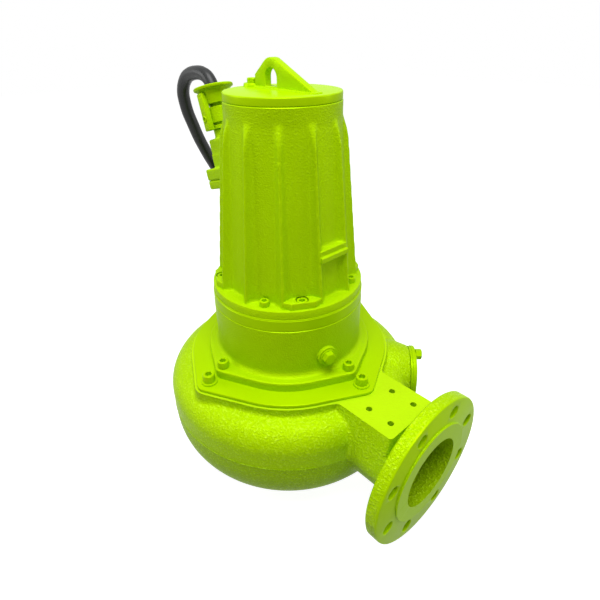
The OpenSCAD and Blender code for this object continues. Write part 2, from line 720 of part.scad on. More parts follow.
// Lifting lug: a plate with a rounded apex off centre over an arched eye
module lifting_lug() color(green) {
    apex = lug_apex_r;
    side = apex - 0.05; // sides start just inside the round apex, so the two fuse
    peak = lift_h - apex;
    left = -lift_len / 2 + lug_x - eye_x;
    right = lift_len / 2 + lug_x - eye_x;
    near = vent_x + vent_boss_r + screw_gap - eye_x; // end beside the vent plug
    left_lean = atan(peak / -left) + asin(apex / norm([left, peak]));
    right_lean = atan(peak / right) + asin(apex / norm([right, peak]));
    eye_top = lift_h - lug_bar - eye_w / 2;
    translate([0, 0, cap_top_z]) rotate([0, 0, lift_az]) rotate([90, 0, 0])
        translate([eye_x, 0, 0]) difference() {
            intersection() {
                union() {
                    translate([0, peak, -lift_t / 2]) cylinder(r = apex, h = lift_t);
                    translate([0, 0, -lift_t / 2]) linear_extrude(lift_t)
                        polygon([[left, 0], [-side * sin(left_lean), peak + side * cos(left_lean)],
                            [side * sin(right_lean), peak + side * cos(right_lean)], [right, 0]]);
                }
                translate([near, 0, -lift_t]) cube([right - near, lift_h, 2 * lift_t]);
            }
            translate([0, eye_top, -lift_t]) cylinder(d = eye_w, h = 2 * lift_t);
            translate([-eye_w / 2, lug_sill, -lift_t]) cube([eye_w, eye_top - lug_sill, 2 * lift_t]);
        }
}

module handhole_gasket() color(dark) hand_frame() difference() {
    cylinder(r = hand_r - 1, h = hand_gasket_t);
    translate([0, 0, -over]) cylinder(r = hand_bore_r, h = hand_gasket_t + 2 * over);
    for (s = [-1, 1]) translate([s * hand_bolt_r, 0, -over])
        cylinder(r = hand_bolt_d / 2 + screw_gap, h = 10, $fn = 32);
}

module handhole_cover() color(green) hand_frame() translate([0, 0, hand_gasket_t]) difference() {
    union() {
        cylinder(r = hand_r, h = hand_cover_t - 1);
        translate([0, 0, hand_cover_t - 1]) cylinder(r1 = hand_r, r2 = hand_r - 1, h = 1);
        translate([0, 0, -hand_gasket_t - 10])
            cylinder(r = hand_bore_r - 0.5, h = 10 + hand_gasket_t + over);
    }
    for (s = [-1, 1]) translate([s * hand_bolt_r, 0, -over])
        cylinder(r = hand_bolt_d / 2 + screw_gap, h = hand_cover_t + 2 * over, $fn = 32);
}

module handhole_bolts() color(green) hand_frame()
    for (s = [-1, 1]) translate([s * hand_bolt_r, 0, hand_gasket_t + hand_cover_t])
        hex_screw(16, 7, hand_bolt_d / 2, screw_l);

module cable_entry_housing() color(green) difference() {
    entry_frame() difference() {
        union() {
            translate([-entry_w / 2, -entry_w / 2, 0]) cube([entry_w, entry_w, entry_t]);
            translate([-tower_w / 2, -tower_w / 2, 0]) cube([tower_w, tower_w, tower_h]);
            translate([-tower_w / 2 - tower_step, -tower_w / 2 - tower_step, 0])
                cube([tower_w + 2 * tower_step, tower_w + 2 * tower_step, (entry_t + tower_h) / 2]);
            translate([0, 0, tower_h - over]) cylinder(r = 14, h = 12 + over);
        }
        translate([0, 0, -over]) cylinder(r = cable_d / 2 + 0.5, h = tower_h + 20);
        for (y = [-1, 1]) translate([-entry_pitch, y * entry_pitch, -over])
            cylinder(r = 3 + screw_gap, h = entry_t + 2 * over, $fn = 24);
    }
    // The entry stands clear of the ribs of the motor housing
    translate([0, 0, motor_flange_z - 2]) cylinder(r1 = rib_low_r + 2 * gap,
        r2 = rib_low_r + 2 * gap - (cap_z - motor_flange_z + 2) * rib_slope,
        h = cap_z - motor_flange_z + 2);
}

module cable_entry_screws() color(green) entry_frame()
    for (y = [-1, 1]) translate([-entry_pitch, y * entry_pitch, entry_t])
        socket_screw(entry_head[0], entry_head[1], 3, entry_t + 7);

module gland_body() color(green) entry_frame() translate([0, 0, tower_h + 12]) difference() {
    union() {
        cylinder(r = gland_r - 1, h = 5);
        translate([0, 0, 4]) cylinder(r = gland_r - 4, h = 4);
        translate([0, 0, 8]) cylinder(r = gland_r, h = gland_h - 8);
    }
    translate([0, 0, -over]) cylinder(r = cable_d / 2 + 0.5, h = gland_h + 2);
    translate([0, 0, gland_h - grommet_l - 2]) cylinder(r = gland_r - 4, h = 40);
}

module cable_grommet() color(dark) entry_frame() translate([0, 0, tower_h + 12 + gland_h - grommet_l - 2])
    ring(cable_d / 2 + screw_gap, gland_r - 4 - fit, grommet_l);

// Bars down the sides of the gland, with room around them where the bell is notched
module clamp_bars(room = 0) {
    for (y = [gland_r - room, -gland_r - clamp_out])
        translate([-clamp_w / 2 - room, y, tower_h + 16])
            cube([clamp_w + 2 * room, clamp_out + room, gland_h + bell_h - 12 + room]);
}

module gland_bell() color(green) entry_frame() difference() {
    translate([0, 0, tower_h + 12 + gland_h]) rotate_extrude($fn = 64) polygon([
        [cable_d / 2 + 0.5, 0], [gland_r - 6, 0], [gland_r - 6, 4], [gland_r, 4],
        [bell_r - 1, bell_h - 4], [bell_r, bell_h - 3], [bell_r, bell_h],
        [bell_r - 4, bell_h], [cable_d / 2 + 0.5, bell_h - 8]]);
    clamp_bars(gap);
}

module cable_clamp() color(green) entry_frame() difference() {
    clamp_bars();
    for (s = [-1, 1]) translate([0, s > 0 ? gland_r - over : -gland_r + over, tower_h + 32])
        rotate([-s * 90, 0, 0]) cylinder(r = 3 + screw_gap, h = 9, $fn = 24);
}

module clamp_screws() color(green) entry_frame() for (s = [0, 180]) rotate([0, 0, s])
    translate([0, -gland_r - clamp_out, tower_h + 32]) rotate([90, 0, 0])
        socket_screw(clamp_head[0], clamp_head[1], 3, clamp_out - over);

// Points of a smooth curve through a list, with extra steps between neighbours
function blend(p, i, t) =
    let (a = p[max(i - 1, 0)], b = p[i], c = p[i + 1], d = p[min(i + 2, len(p) - 1)])
    0.5 * (2 * b + (c - a) * t + (2 * a - 5 * b + 4 * c - d) * t * t
        + (3 * b - a - 3 * c + d) * t * t * t);
function smooth(p, steps) = concat(
    [for (i = [0:len(p) - 2], k = [0:steps - 1]) blend(p, i, k / steps)], [p[len(p) - 1]]);
function unit(v) = v / norm(v);

// Tube along a list of points, with flat ends
module tube(path, r, sides) {
    last = len(path) - 1;
    rings = [for (i = [0:last])
        let (t = unit(path[min(i + 1, last)] - path[max(i - 1, 0)]),
            side = unit(cross(t, [0, 1, 0.02])), up = cross(side, t))
        for (k = [0:sides - 1])
            path[i] + r * (cos(360 * k / sides) * side + sin(360 * k / sides) * up)];
    faces = concat(
        [[for (k = [0:sides - 1]) k]],
        [for (i = [0:last - 1], k = [0:sides - 1])
            [i * sides + k, (i + 1) * sides + k, (i + 1) * sides + (k + 1) % sides,
                i * sides + (k + 1) % sides]],
        [[for (k = [sides - 1:-1:0]) last * sides + k]]);
    polyhedron(rings, faces);
}

module cable() color(dark) tube(smooth(CABLE_ROUTE, CABLE_STEPS), cable_d / 2, 10);

module cable_coil() color(dark)
    translate([COIL_CENTRE[0], COIL_CENTRE[1], 0]) ring(coil_in_r, coil_out_r, coil_h);

module cable_tail() color(dark) tube(smooth(TAIL_ROUTE, 2), cable_d / 2, 10);

module cable_cores() color("chocolate") translate(TAIL_ROUTE[4]) rotate([0, 90, -45])
    for (i = [0:3]) rotate([0, 0, 90 * i + 45]) translate([4.2, 0, 0]) cylinder(r = 2.2, h = 42, $fn = 16);

// Curved blade: part of a ring between the hub and the rim
module blade() {
    arc_r = impeller_r * 0.62;
    intersection() {
        translate([0, -arc_r * 0.75, blade_low_z - over])
            ring(arc_r - blade_t, arc_r, impeller_w + 2 * over);
        translate([0, -arc_r * 0.1, blade_low_z - over])
            rotate([0, 0, -62]) cube([impeller_r * 1.3, impeller_r * 1.3, impeller_w + 2 * over]);
        translate([0, 0, blade_low_z - over]) cylinder(r = impeller_r - 1, h = impeller_w + 2 * over);
    }
}

module impeller() color("dimgray") difference() {
    union() {
        translate([0, 0, blade_top_z]) cylinder(r = impeller_r, h = shroud_t, $fn = 128);
        translate([0, 0, shroud_low_z]) ring(suction_d / 2 - 2, impeller_r, shroud_t);
        translate([0, 0, skirt_z]) ring(suction_d / 2 - 2, skirt_r, shroud_low_z - skirt_z + over);
        translate([0, 0, hub_z]) cylinder(r = hub_r, h = shroud_top_z - hub_z);
        around(3) blade();
    }
    translate([0, 0, hub_z - over]) cylinder(r = shaft_low_r + fit, h = 200, $fn = 64);
    translate([0, -4 - fit, hub_z - over]) cube([shaft_low_r + 3.5, 8 + 2 * fit, 200]);
    translate([0, 0, skirt_z - over]) cylinder(r = suction_d / 2 - 2, h = 30);
    // The blades end around the washer
    translate([0, 0, skirt_z - over]) cylinder(r = hub_r, h = hub_z - skirt_z + over);
}

module impeller_key() color(steel)
    translate([shaft_low_r - 4, -4, hub_z + 4]) cube([7, 8, shroud_top_z - hub_z - 12]);

module impeller_washer() color(steel) translate([0, 0, hub_z - 5]) ring(6.5, hub_r - 4, 5);

module impeller_screw() color(steel) translate([0, 0, hub_z - 5]) rotate([180, 0, 0])
    socket_screw(9, 11, 6, 32);

module shaft() color(steel) difference() {
    union() {
        translate([0, 0, hub_z + 2]) cylinder(r = shaft_low_r, h = shroud_top_z - hub_z - 2 + over);
        translate([0, 0, shroud_top_z + gap]) cylinder(r = shaft_seal_r, h = bracket_z - shroud_top_z);
        translate([0, 0, bracket_z]) cylinder(r = shaft_bearing_r, h = low_bearing_w + 8);
        translate([0, 0, low_bearing_z + low_bearing_w]) cylinder(r = shaft_bearing_r + 4, h = 12);
        translate([0, 0, low_bearing_z + low_bearing_w])
            cylinder(r = shaft_core_r, h = top_bearing_z - low_bearing_z - low_bearing_w);
        translate([0, 0, top_bearing_z - over])
            cylinder(r = shaft_top_r, h = shaft_end_z - top_bearing_z + over);
    }
    translate([shaft_low_r - 4, -4 - fit, hub_z]) cube([7, 8 + 2 * fit, shroud_top_z - hub_z - 7.9]);
    translate([0, 0, hub_z]) cylinder(r = 6 + screw_gap, h = 30, $fn = 32);
}

module rotor_core() color("slategray")
    translate([0, 0, core_z]) ring(shaft_core_r + fit, core_bore_r - air_gap, core_h);

module rotor_end_rings() color("silver") for (z = [core_z - end_ring_h, core_top_z])
    translate([0, 0, z]) ring(shaft_core_r + 8, core_bore_r - air_gap - 2, end_ring_h);

module stator_core() color("slategray")
    translate([0, 0, core_z]) ring(core_bore_r, stator_bore_r - fit, core_h);

module stator_windings() color("sienna") for (z = [core_z - winding_h, core_top_z])
    translate([0, 0, z]) ring(core_bore_r + 3, stator_bore_r - 4, winding_h);

cage_t = 4;
cage_lip = 1.8;

// Bearing race between two radii with a ball groove at the pitch radius
module race(r_in, r_out, w, pitch_r, ball_r) {
    difference() {
        ring(r_in, r_out, w);
        translate([0, 0, w / 2])
            rotate_extrude($fn = 96) translate([pitch_r, 0]) circle(r = ball_r, $fn = 32);
    }
}

module balls(pitch_r, ball_r, w) {
    for (i = [0:ball_count - 1]) rotate([0, 0, i * 360 / ball_count])
        translate([pitch_r, 0, w / 2]) sphere(r = ball_r, $fn = 32);
    difference() {
        translate([0, 0, w / 2 - ball_r - cage_lip])
            ring(pitch_r - cage_t / 2, pitch_r + cage_t / 2, 2 * (ball_r + cage_lip));
        for (i = [0:ball_count - 1]) rotate([0, 0, i * 360 / ball_count])
            translate([pitch_r, 0, w / 2]) rotate([0, 90, 0])
                cylinder(r = ball_r + 0.2, h = 3 * cage_t, center = true, $fn = 48);
    }
}

low_pitch_r = (low_bearing_r + shaft_bearing_r) / 2;
low_ball_r = (low_bearing_r - shaft_bearing_r) * 0.3;
top_pitch_r = (top_bearing_r + shaft_top_r) / 2;
top_ball_r = (top_bearing_r - shaft_top_r) * 0.3;

module lower_bearing_outer_race() color(steel) translate([0, 0, low_bearing_z])
    race(low_pitch_r + low_ball_r * 0.6, low_bearing_r, low_bearing_w, low_pitch_r, low_ball_r + 0.1);

module lower_bearing_inner_race() color(steel) translate([0, 0, low_bearing_z])
    race(shaft_bearing_r + fit, low_pitch_r - low_ball_r * 0.6, low_bearing_w, low_pitch_r, low_ball_r + 0.1);

module lower_bearing_balls() color("silver") translate([0, 0, low_bearing_z])
    balls(low_pitch_r, low_ball_r, low_bearing_w);

module upper_bearing_outer_race() color(steel) translate([0, 0, top_bearing_z])
    race(top_pitch_r + top_ball_r * 0.6, top_bearing_r, top_bearing_w, top_pitch_r, top_ball_r + 0.1);

module upper_bearing_inner_race() color(steel) translate([0, 0, top_bearing_z])
    race(shaft_top_r + fit, top_pitch_r - top_ball_r * 0.6, top_bearing_w, top_pitch_r, top_ball_r + 0.1);

module upper_bearing_balls() color("silver") translate([0, 0, top_bearing_z])
    balls(top_pitch_r, top_ball_r, top_bearing_w);

module bearing_circlip() color(steel) translate([0, 0, low_bearing_z + low_bearing_w + 0.2]) difference() {
    ring(low_bearing_r - 4, low_bearing_r + 2.4, 2.4);
    translate([-3, 0, -over]) cube([6, 80, 6]);
}

module wave_spring() color(steel) translate([0, 0, top_bearing_z + top_bearing_w + 0.2])
    ring(top_bearing_r - 5, top_bearing_r - 0.6, 2.6);

module lower_seal_seat() color("ivory") translate([0, 0, seat_z])
    ring(shaft_seal_r + 0.8, seat_r, seat_h);

module lower_seal_ring() color("dimgray") translate([0, 0, low_ring_z + 0.1])
    ring(shaft_seal_r + fit, ring_r, ring_h - 0.1);

module seal_bellows() color(dark) {
    pitch = (top_ring_z - bellows_z) / 6;
    translate([0, 0, bellows_z]) ring(shaft_seal_r + fit, shaft_seal_r + 3, top_ring_z - bellows_z);
    for (i = [0:5]) translate([0, 0, bellows_z + i * pitch + pitch / 4])
        ring(shaft_seal_r + 2, shaft_seal_r + 6, pitch / 2);
}

module upper_seal_ring() color("dimgray") translate([0, 0, top_ring_z])
    ring(shaft_seal_r + fit, ring_r, ring_h - 0.1);

module upper_seal_seat() color("ivory") translate([0, 0, seal_top_z - seat_h])
    ring(shaft_seal_r + 0.8, seat_r, 2 * seat_h);

module terminal_board() color("saddlebrown") translate([0, 0, web_top_z]) {
    translate([28, -22, 0]) cube([24, 44, 5]);
    for (y = [-14, 0, 14]) translate([40, y, 4]) cylinder(r = 2.5, h = 6, $fn = 24);
}

module moisture_probe() color(steel) {
    translate([-70, 0, bracket_z - 20]) cylinder(r = 6, h = 30, $fn = 32);
    translate([-70, 0, bracket_z - 60]) cylinder(r = 2, h = 41, $fn = 16);
}

volute_casing();
suction_cover();
suction_cover_screws();
wear_ring();
casing_cover();
casing_cover_screws();
casing_cover_washers();
casing_o_ring();
oil_chamber_housing();
oil_chamber_screws();
oil_plug();
oil_plug_seal();
bearing_bracket();
bracket_screws();
motor_housing();
motor_flange_screws();
top_cover();
lifting_lug();
vent_plug();
handhole_cover();
handhole_gasket();
handhole_bolts();
cable_entry_housing();
cable_entry_screws();
gland_body();
gland_bell();
cable_clamp();
clamp_screws();
cable_grommet();
cable();
cable_coil();
cable_tail();
cable_cores();
impeller();
impeller_key();
impeller_washer();
impeller_screw();
shaft();
rotor_core();
rotor_end_rings();
stator_core();
stator_windings();
lower_bearing_outer_race();
lower_bearing_inner_race();
lower_bearing_balls();
upper_bearing_outer_race();
upper_bearing_inner_race();
upper_bearing_balls();
bearing_circlip();
wave_spring();
lower_seal_seat();
lower_seal_ring();
seal_bellows();
upper_seal_ring();
upper_seal_seat();
terminal_board();
moisture_probe();
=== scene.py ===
"""Submersible sewage pump in lime green enamel, with its cable coiled behind it."""

import logging
import math
from collections.abc import Iterable, Mapping, Sequence
from dataclasses import dataclass, field
from enum import Enum

import bmesh
import bpy
from bpy.types import Material, Mesh, Node, NodeSocket, NodeTree, Object
from mathutils import Matrix, Vector


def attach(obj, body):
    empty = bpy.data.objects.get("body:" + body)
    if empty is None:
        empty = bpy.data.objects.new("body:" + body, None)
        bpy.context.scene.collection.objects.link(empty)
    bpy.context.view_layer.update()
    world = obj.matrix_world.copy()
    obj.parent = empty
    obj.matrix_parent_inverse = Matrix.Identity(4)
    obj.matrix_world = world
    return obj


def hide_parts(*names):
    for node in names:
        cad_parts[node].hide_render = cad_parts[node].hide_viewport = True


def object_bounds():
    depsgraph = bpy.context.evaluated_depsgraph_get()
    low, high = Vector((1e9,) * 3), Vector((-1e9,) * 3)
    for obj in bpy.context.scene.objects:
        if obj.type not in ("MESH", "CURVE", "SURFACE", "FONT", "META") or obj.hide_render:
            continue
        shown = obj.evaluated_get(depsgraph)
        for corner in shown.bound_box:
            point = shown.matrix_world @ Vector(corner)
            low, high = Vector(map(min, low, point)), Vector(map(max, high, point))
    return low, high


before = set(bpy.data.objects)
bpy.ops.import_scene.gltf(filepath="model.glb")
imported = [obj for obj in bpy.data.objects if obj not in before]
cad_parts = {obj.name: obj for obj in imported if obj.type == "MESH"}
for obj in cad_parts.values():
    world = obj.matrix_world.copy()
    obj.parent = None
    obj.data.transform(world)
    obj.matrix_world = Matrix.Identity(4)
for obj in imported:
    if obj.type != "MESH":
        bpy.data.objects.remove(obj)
CAD_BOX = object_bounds()

BODY = "pump"
log = logging.getLogger(BODY)

MM = 0.001
CRISP_DEG = 32.0  # edges that turn by more than this stay crisp
Pair = tuple[float, float]
Point = tuple[float, float, float]
Outline = Sequence[Pair]


class Slot(Enum):
    """Material slots of the record that new pieces take."""

    ENAMEL = "green_paint"
    BOLTS = "green_bolts"
    CABLE = "cable_rubber"


class Operation(Enum):
    """Ways to combine two closed meshes."""

    JOIN = "UNION"
    CUT = "DIFFERENCE"
    KEEP = "INTERSECT"


class Face(Enum):
    """Kinds of surface on a painted casting, in the order of its materials."""

    CAST = 0
    TURNED = 1
    MILLED = 2


# Heights along the shaft and main sizes, in millimetres, as in the part's source
DISCHARGE_Z = 135.0
CROWN_Z = 188.0
LAND_Z = 201.4
OIL_Z = 206.7
OIL_FLANGE_Z = 220.4
BRACKET_Z = 295.9
MOTOR_Z = 314.0
MOTOR_FLANGE_Z = 325.7
BAND_Z = 540.6
CAP_Z = 562.6
CAP_TOP_Z = 572.4
# Distances of the screws from the shaft, on the covers' corners and on the motor's flange
COVER_SCREW_X = 152.0
OIL_SCREW_X = 126.5
MOTOR_SCREW_X = 95.0
# Angles of the motor's standing and sunk screws, in degrees
HEAD_AZ = 30.0
LUG_AZ = 60.0
WASHER_T = 2.8


def linear(code: str) -> tuple[float, ...]:
    """Turns an sRGB hex colour into linear values.

    Args:
        code: Colour such as "#A9D800".

    Returns:
        Linear red, green, blue and full alpha.
    """
    values = [int(code[i : i + 2], 16) / 255 for i in (1, 3, 5)]
    red, green, blue = [v / 12.92 if v <= 0.04045 else ((v + 0.055) / 1.055) ** 2.4 for v in values]
    return red, green, blue, 1.0


def add_node(tree: NodeTree, kind: str, inputs: Mapping | None = None, **settings: object) -> Node:
    """Adds a shader node with its settings and its inputs.

    Args:
        tree: Node tree that gets the node.
        kind: Type name of the node, without "ShaderNode".
        inputs: Value, socket or node for each input, by name or index. A node
            stands for its first live output.
        settings: Properties of the node.

    Returns:
        The new node.
    """
    node = tree.nodes.new("ShaderNode" + kind)
    for name, value in settings.items():
        setattr(node, name, value)
    for name, value in (inputs or {}).items():
        if isinstance(value, Node):
            value = next(socket for socket in value.outputs if socket.enabled)
        if isinstance(value, NodeSocket):
            tree.links.new(value, node.inputs[name])
        else:
            node.inputs[name].default_value = value
    return node


def new_material(name: str) -> tuple[Material, NodeTree]:
    """Makes an empty node material and returns it with its tree."""
    material = bpy.data.materials.new(name)
    material.use_nodes = True
    material.node_tree.nodes.clear()
    return material, material.node_tree


@dataclass(frozen=True)
class Enamel:
    """Sprayed two-part enamel over iron: a glossy film that softens what is under it.

    Over sand-cast iron the grain of the mould shows through as soft pebbles, and
    over machined faces only the faint orange peel of the spray is left. Painted
    highlights lighten the crests of the grain, and painted shade darkens the colour
    below a given height.
    """

    name: str
    colour: str = "#A8D200"
    deep: str = "#9DC600"
    # darker colour of painted shade on the lower half of the casting, under its parting line
    painted_shade_colour: str = "#93BA00"
    # colour of the painted highlights on the crests of the grain
    painted_glint_colour: str = "#CDF23C"
    own_gloss: float = 0.14  # reflections take the enamel's colour, as in the photograph
    # strength of the painted highlights on the crests of the grain
    painted_glint: float = 0.0
    grain_mm: float = 2.6  # sand grain is about 0.5 mm, drawn coarser so that it shows
    grain_depth_mm: float = 0.35
    peel_mm: float = 4.0
    peel_depth_mm: float = 0.06
    roughness: float = 0.36
    rough_and_shaded_below_mm: float = 0.0  # the drag half of the mould, under its parting line: rougher grain there, and painted shade that darkens the colour
    tracks_mm: float = 0.0  # spacing of a cutter's tracks
    tracks_az: float = 38.0
    film_gloss: float = 0.008  # white gloss of the clear film over the colour

    def make(self) -> Material:
        """Builds the material."""
        material, tree = new_material(self.name)
        where = add_node(tree, "TexCoord").outputs["Object"]
        patches = add_node(tree, "TexNoise", {
            "Vector": where, "Scale": 1 / (60 * MM), "Detail": 3.0, "Roughness": 0.55
        })
        tint = add_node(
            tree, "Mix", {0: patches, 6: linear(self.deep), 7: linear(self.colour)}, data_type="RGBA"
        )
        grain = add_node(tree, "TexNoise", {
            "Vector": where, "Scale": 1 / (self.grain_mm * MM), "Detail": 2.5, "Roughness": 0.6
        })
        height = add_node(tree, "SeparateXYZ", {"Vector": where}).outputs["Z"]
        # below the parting line the grain is rougher, and the colour is darkened as painted shade
        rough_and_shaded_below = add_node(tree, "MapRange", {
            "Value": height, "From Min": (self.rough_and_shaded_below_mm - 1.0) * MM,
            "From Max": (self.rough_and_shaded_below_mm + 1.0) * MM, "To Min": 1.0, "To Max": 0.0,
        })
        depth = add_node(tree, "MapRange", {
            "Value": rough_and_shaded_below, "To Min": self.grain_depth_mm * MM, "To Max": self.grain_depth_mm * MM * 1.5
        })
        # painted shade: the colour darkens below the parting line
        colour_with_painted_light = add_node(tree, "Mix", {0: rough_and_shaded_below, 6: tint, 7: linear(self.painted_shade_colour)}, data_type="RGBA")
        # painted highlights: the crests of the grain are lightened toward a pale colour
        painted_glint_mask = add_node(tree, "MapRange", {
            "Value": grain, "From Min": 0.52, "From Max": 0.72, "To Min": 0.0, "To Max": self.painted_glint
        })
        colour_with_painted_light = add_node(tree, "Mix", {0: painted_glint_mask, 6: colour_with_painted_light, 7: linear(self.painted_glint_colour)}, data_type="RGBA")
        grain_bump = add_node(tree, "Bump", {"Height": grain, "Distance": depth, "Strength": 1.0})
        peel = add_node(tree, "TexNoise", {
            "Vector": where, "Scale": 1 / (self.peel_mm * MM), "Detail": 1.0
        })
        normal = add_node(tree, "Bump", {
            "Height": peel, "Distance": self.peel_depth_mm * MM, "Strength": 1.0, "Normal": grain_bump
        })
        if self.tracks_mm:
            normal = self.tracks(tree, where, normal)
        gloss = add_node(tree, "MapRange", {
            "Value": patches, "To Min": self.roughness - 0.05, "To Max": self.roughness + 0.08
        })
        shader = add_node(tree, "BsdfPrincipled", {
            "Base Color": colour_with_painted_light, "Roughness": gloss, "Metallic": self.own_gloss, "IOR": 1.5,
            "Specular IOR Level": self.film_gloss, "Normal": normal,
        })
        add_node(tree, "OutputMaterial", {"Surface": shader})
        return material

    def tracks(self, tree: NodeTree, where: NodeSocket, normal: Node) -> Node:
        """Adds a cutter's slanting tracks to the surface."""
        turned = add_node(tree, "Mapping", {
            "Vector": where, "Rotation": (0.0, 0.0, math.radians(self.tracks_az))
        })
        # The wave texture repeats at every pi / 10 over its scale
        rows = add_node(tree, "TexWave", {
            "Vector": turned, "Scale": math.pi / 10 / (self.tracks_mm * MM), "Distortion": 0.4,
            "Detail": 1.0,
        })
        return add_node(tree, "Bump", {
            "Height": rows, "Distance": 0.12 * MM, "Strength": 1.0, "Normal": normal
        })


@dataclass(frozen=True)
class Plain:
    """Solid stock with fine grain: metals, rubber, ceramic and board inside the pump."""

    name: str
    colour: str
    shade: str
    metallic: float = 0.0
    roughness: float = 0.5
    grain_mm: float = 1.5
    grain_depth_mm: float = 0.05
    stretch: Point = (1.0, 1.0, 1.0)

    def make(self) -> Material:
        """Builds the material."""
        material, tree = new_material(self.name)
        where = add_node(tree, "TexCoord").outputs["Object"]
        placed = add_node(tree, "Mapping", {"Vector": where, "Scale": self.stretch})
        grain = add_node(tree, "TexNoise", {
            "Vector": placed, "Scale": 1 / (self.grain_mm * MM), "Detail": 3.0, "Roughness": 0.6
        })
        tint = add_node(
            tree, "Mix", {0: grain, 6: linear(self.shade), 7: linear(self.colour)}, data_type="RGBA"
        )
        bump = add_node(tree, "Bump", {"Height": grain, "Distance": self.grain_depth_mm * MM})
        gloss = add_node(tree, "MapRange", {
            "Value": grain, "To Min": max(self.roughness - 0.08, 0.05), "To Max": self.roughness + 0.08
        })
        shader = add_node(tree, "BsdfPrincipled", {
            "Base Color": tint, "Metallic": self.metallic, "Roughness": gloss, "Normal": bump
        })
        add_node(tree, "OutputMaterial", {"Surface": shader})
        return material


# Enamel over the sand-cast skin: soft pebbles, with painted highlights on their crests
CAST_ENAMEL = Enamel("enamel_over_cast_iron", grain_mm=1.9, grain_depth_mm=0.9, painted_glint=0.15)
# Enamel over the coarser sand skin of the volute, with painted highlights on its grain, rougher still in
# the lower half and darkened there with painted shade
SAND_ENAMEL = Enamel(
    "enamel_over_coarse_cast_iron", grain_mm=3.0, grain_depth_mm=2.0, roughness=0.3, painted_glint=0.55,
    rough_and_shaded_below_mm=127.0,
)
# The same enamel over turned and milled faces: flat gloss with orange peel only
SMOOTH_ENAMEL = Enamel("enamel_over_machined_iron", grain_mm=1.6, grain_depth_mm=0.05, roughness=0.32)
# Enamel over the milled top of the pad, where the cutter's tracks still show, in a lighter colour that is
# painted light on the top face
MILLED_ENAMEL = Enamel(
    "enamel_over_milled_iron", colour="#B6DE10", deep="#AED60A", grain_mm=1.6, grain_depth_mm=0.05,
    roughness=0.34, tracks_mm=3.5,
)
# Steel screws sprayed over with the pump
SCREW_ENAMEL = Enamel("enamel_over_steel_screws", grain_mm=1.2, grain_depth_mm=0.04, roughness=0.3)
# Finishes of the castings and covers, in the order of Face, and of the screws
FINE = (CAST_ENAMEL, SMOOTH_ENAMEL, MILLED_ENAMEL)
COARSE = (SAND_ENAMEL, SMOOTH_ENAMEL, MILLED_ENAMEL)
SPRAYED = (SCREW_ENAMEL,)

STOCK = {
    # Turned stainless shaft and screws: bright, with fine rings
    "steel": Plain("turned_stainless_steel", "#C9CBCD", "#A9ABAE", 1.0, 0.3, 0.8, 0.02, (1, 1, 8)),
    # Ground and polished bearing steel: a mirror with little grain
    "bearing_steel": Plain("ground_bearing_steel", "#D5D6D8", "#BFC1C4", 1.0, 0.16, 0.6, 0.01),
    # Bare sand-cast iron of the impeller: dark and granular
    "cast_iron": Plain("sand_cast_iron", "#5E5D5B", "#454442", 0.6, 0.62, 2.2, 0.3),
    # Cast bronze wear ring
    "bronze": Plain("turned_bronze", "#B98A4A", "#9A6F36", 1.0, 0.34, 1.0, 0.03, (1, 1, 6)),
    # Copper windings under clear varnish
    "copper": Plain("varnished_copper", "#C46F3E", "#8E4726", 1.0, 0.32, 1.1, 0.08, (4, 4, 1)),
    # Nitrile rubber of the gaskets: matt black with dust
    "rubber": Plain("moulded_nitrile_rubber", "#1D1D1E", "#121213", 0.0, 0.7, 1.4, 0.06),
    # Silicon carbide seal seats: dark grey, lapped
    "seal_ceramic": Plain("lapped_silicon_carbide", "#4A4D50", "#3A3C3F", 0.0, 0.25, 0.8, 0.01),
    # Carbon seal rings: soft dull black
    "seal_carbon": Plain("pressed_carbon", "#2A2A2C", "#1C1C1E", 0.0, 0.45, 0.8, 0.02),
    # Glass and resin terminal board: pale green laminate
    "board": Plain("glass_resin_laminate", "#B9B48A", "#A29C72", 0.0, 0.5, 1.0, 0.03, (6, 1, 1)),
    # Die-cast aluminium end rings
    "aluminium": Plain("die_cast_aluminium", "#B9BBBD", "#9C9EA1", 1.0, 0.42, 1.6, 0.06),
}


@dataclass(frozen=True)
class CableRubber:
    """Extruded chloroprene sheath: black, dull, with a grey bloom and die lines along it."""

    name: str = "extruded_chloroprene_sheath"
    colour: str = "#0E0F0F"
    bloom: str = "#1F2121"
    line_mm: float = 1.4
    roughness: float = 0.42

    def make(self) -> Material:
        """Builds the material."""
        material, tree = new_material(self.name)
        where = add_node(tree, "TexCoord").outputs["Object"]
        dust = add_node(tree, "TexNoise", {
            "Vector": where, "Scale": 1 / (26 * MM), "Detail": 4.0, "Roughness": 0.6
        })
        tint = add_node(
            tree, "Mix", {0: dust, 6: linear(self.colour), 7: linear(self.bloom)}, data_type="RGBA"
        )
        skin = add_node(tree, "TexNoise", {
            "Vector": where, "Scale": 1 / (self.line_mm * MM), "Detail": 2.0
        })
        bump = add_node(tree, "Bump", {"Height": skin, "Distance": 0.05 * MM})
        gloss = add_node(tree, "MapRange", {
            "Value": dust, "To Min": self.roughness - 0.1, "To Max": self.roughness + 0.12
        })
        shader = add_node(tree, "BsdfPrincipled", {
            "Base Color": tint, "Roughness": gloss, "IOR": 1.52, "Specular IOR Level": 0.3, "Normal": bump
        })
        add_node(tree, "OutputMaterial", {"Surface": shader})
        return material


class Finishes:
    """Materials of the pump, each made the first time that it is asked for."""

    made: dict[str, Material] = {}

    @classmethod
    def of(cls, kind: Enamel | Plain | CableRubber) -> Material:
        """Returns the material of one finish."""
        if kind.name not in cls.made:
            cls.made[kind.name] = kind.make()
        return cls.made[kind.name]


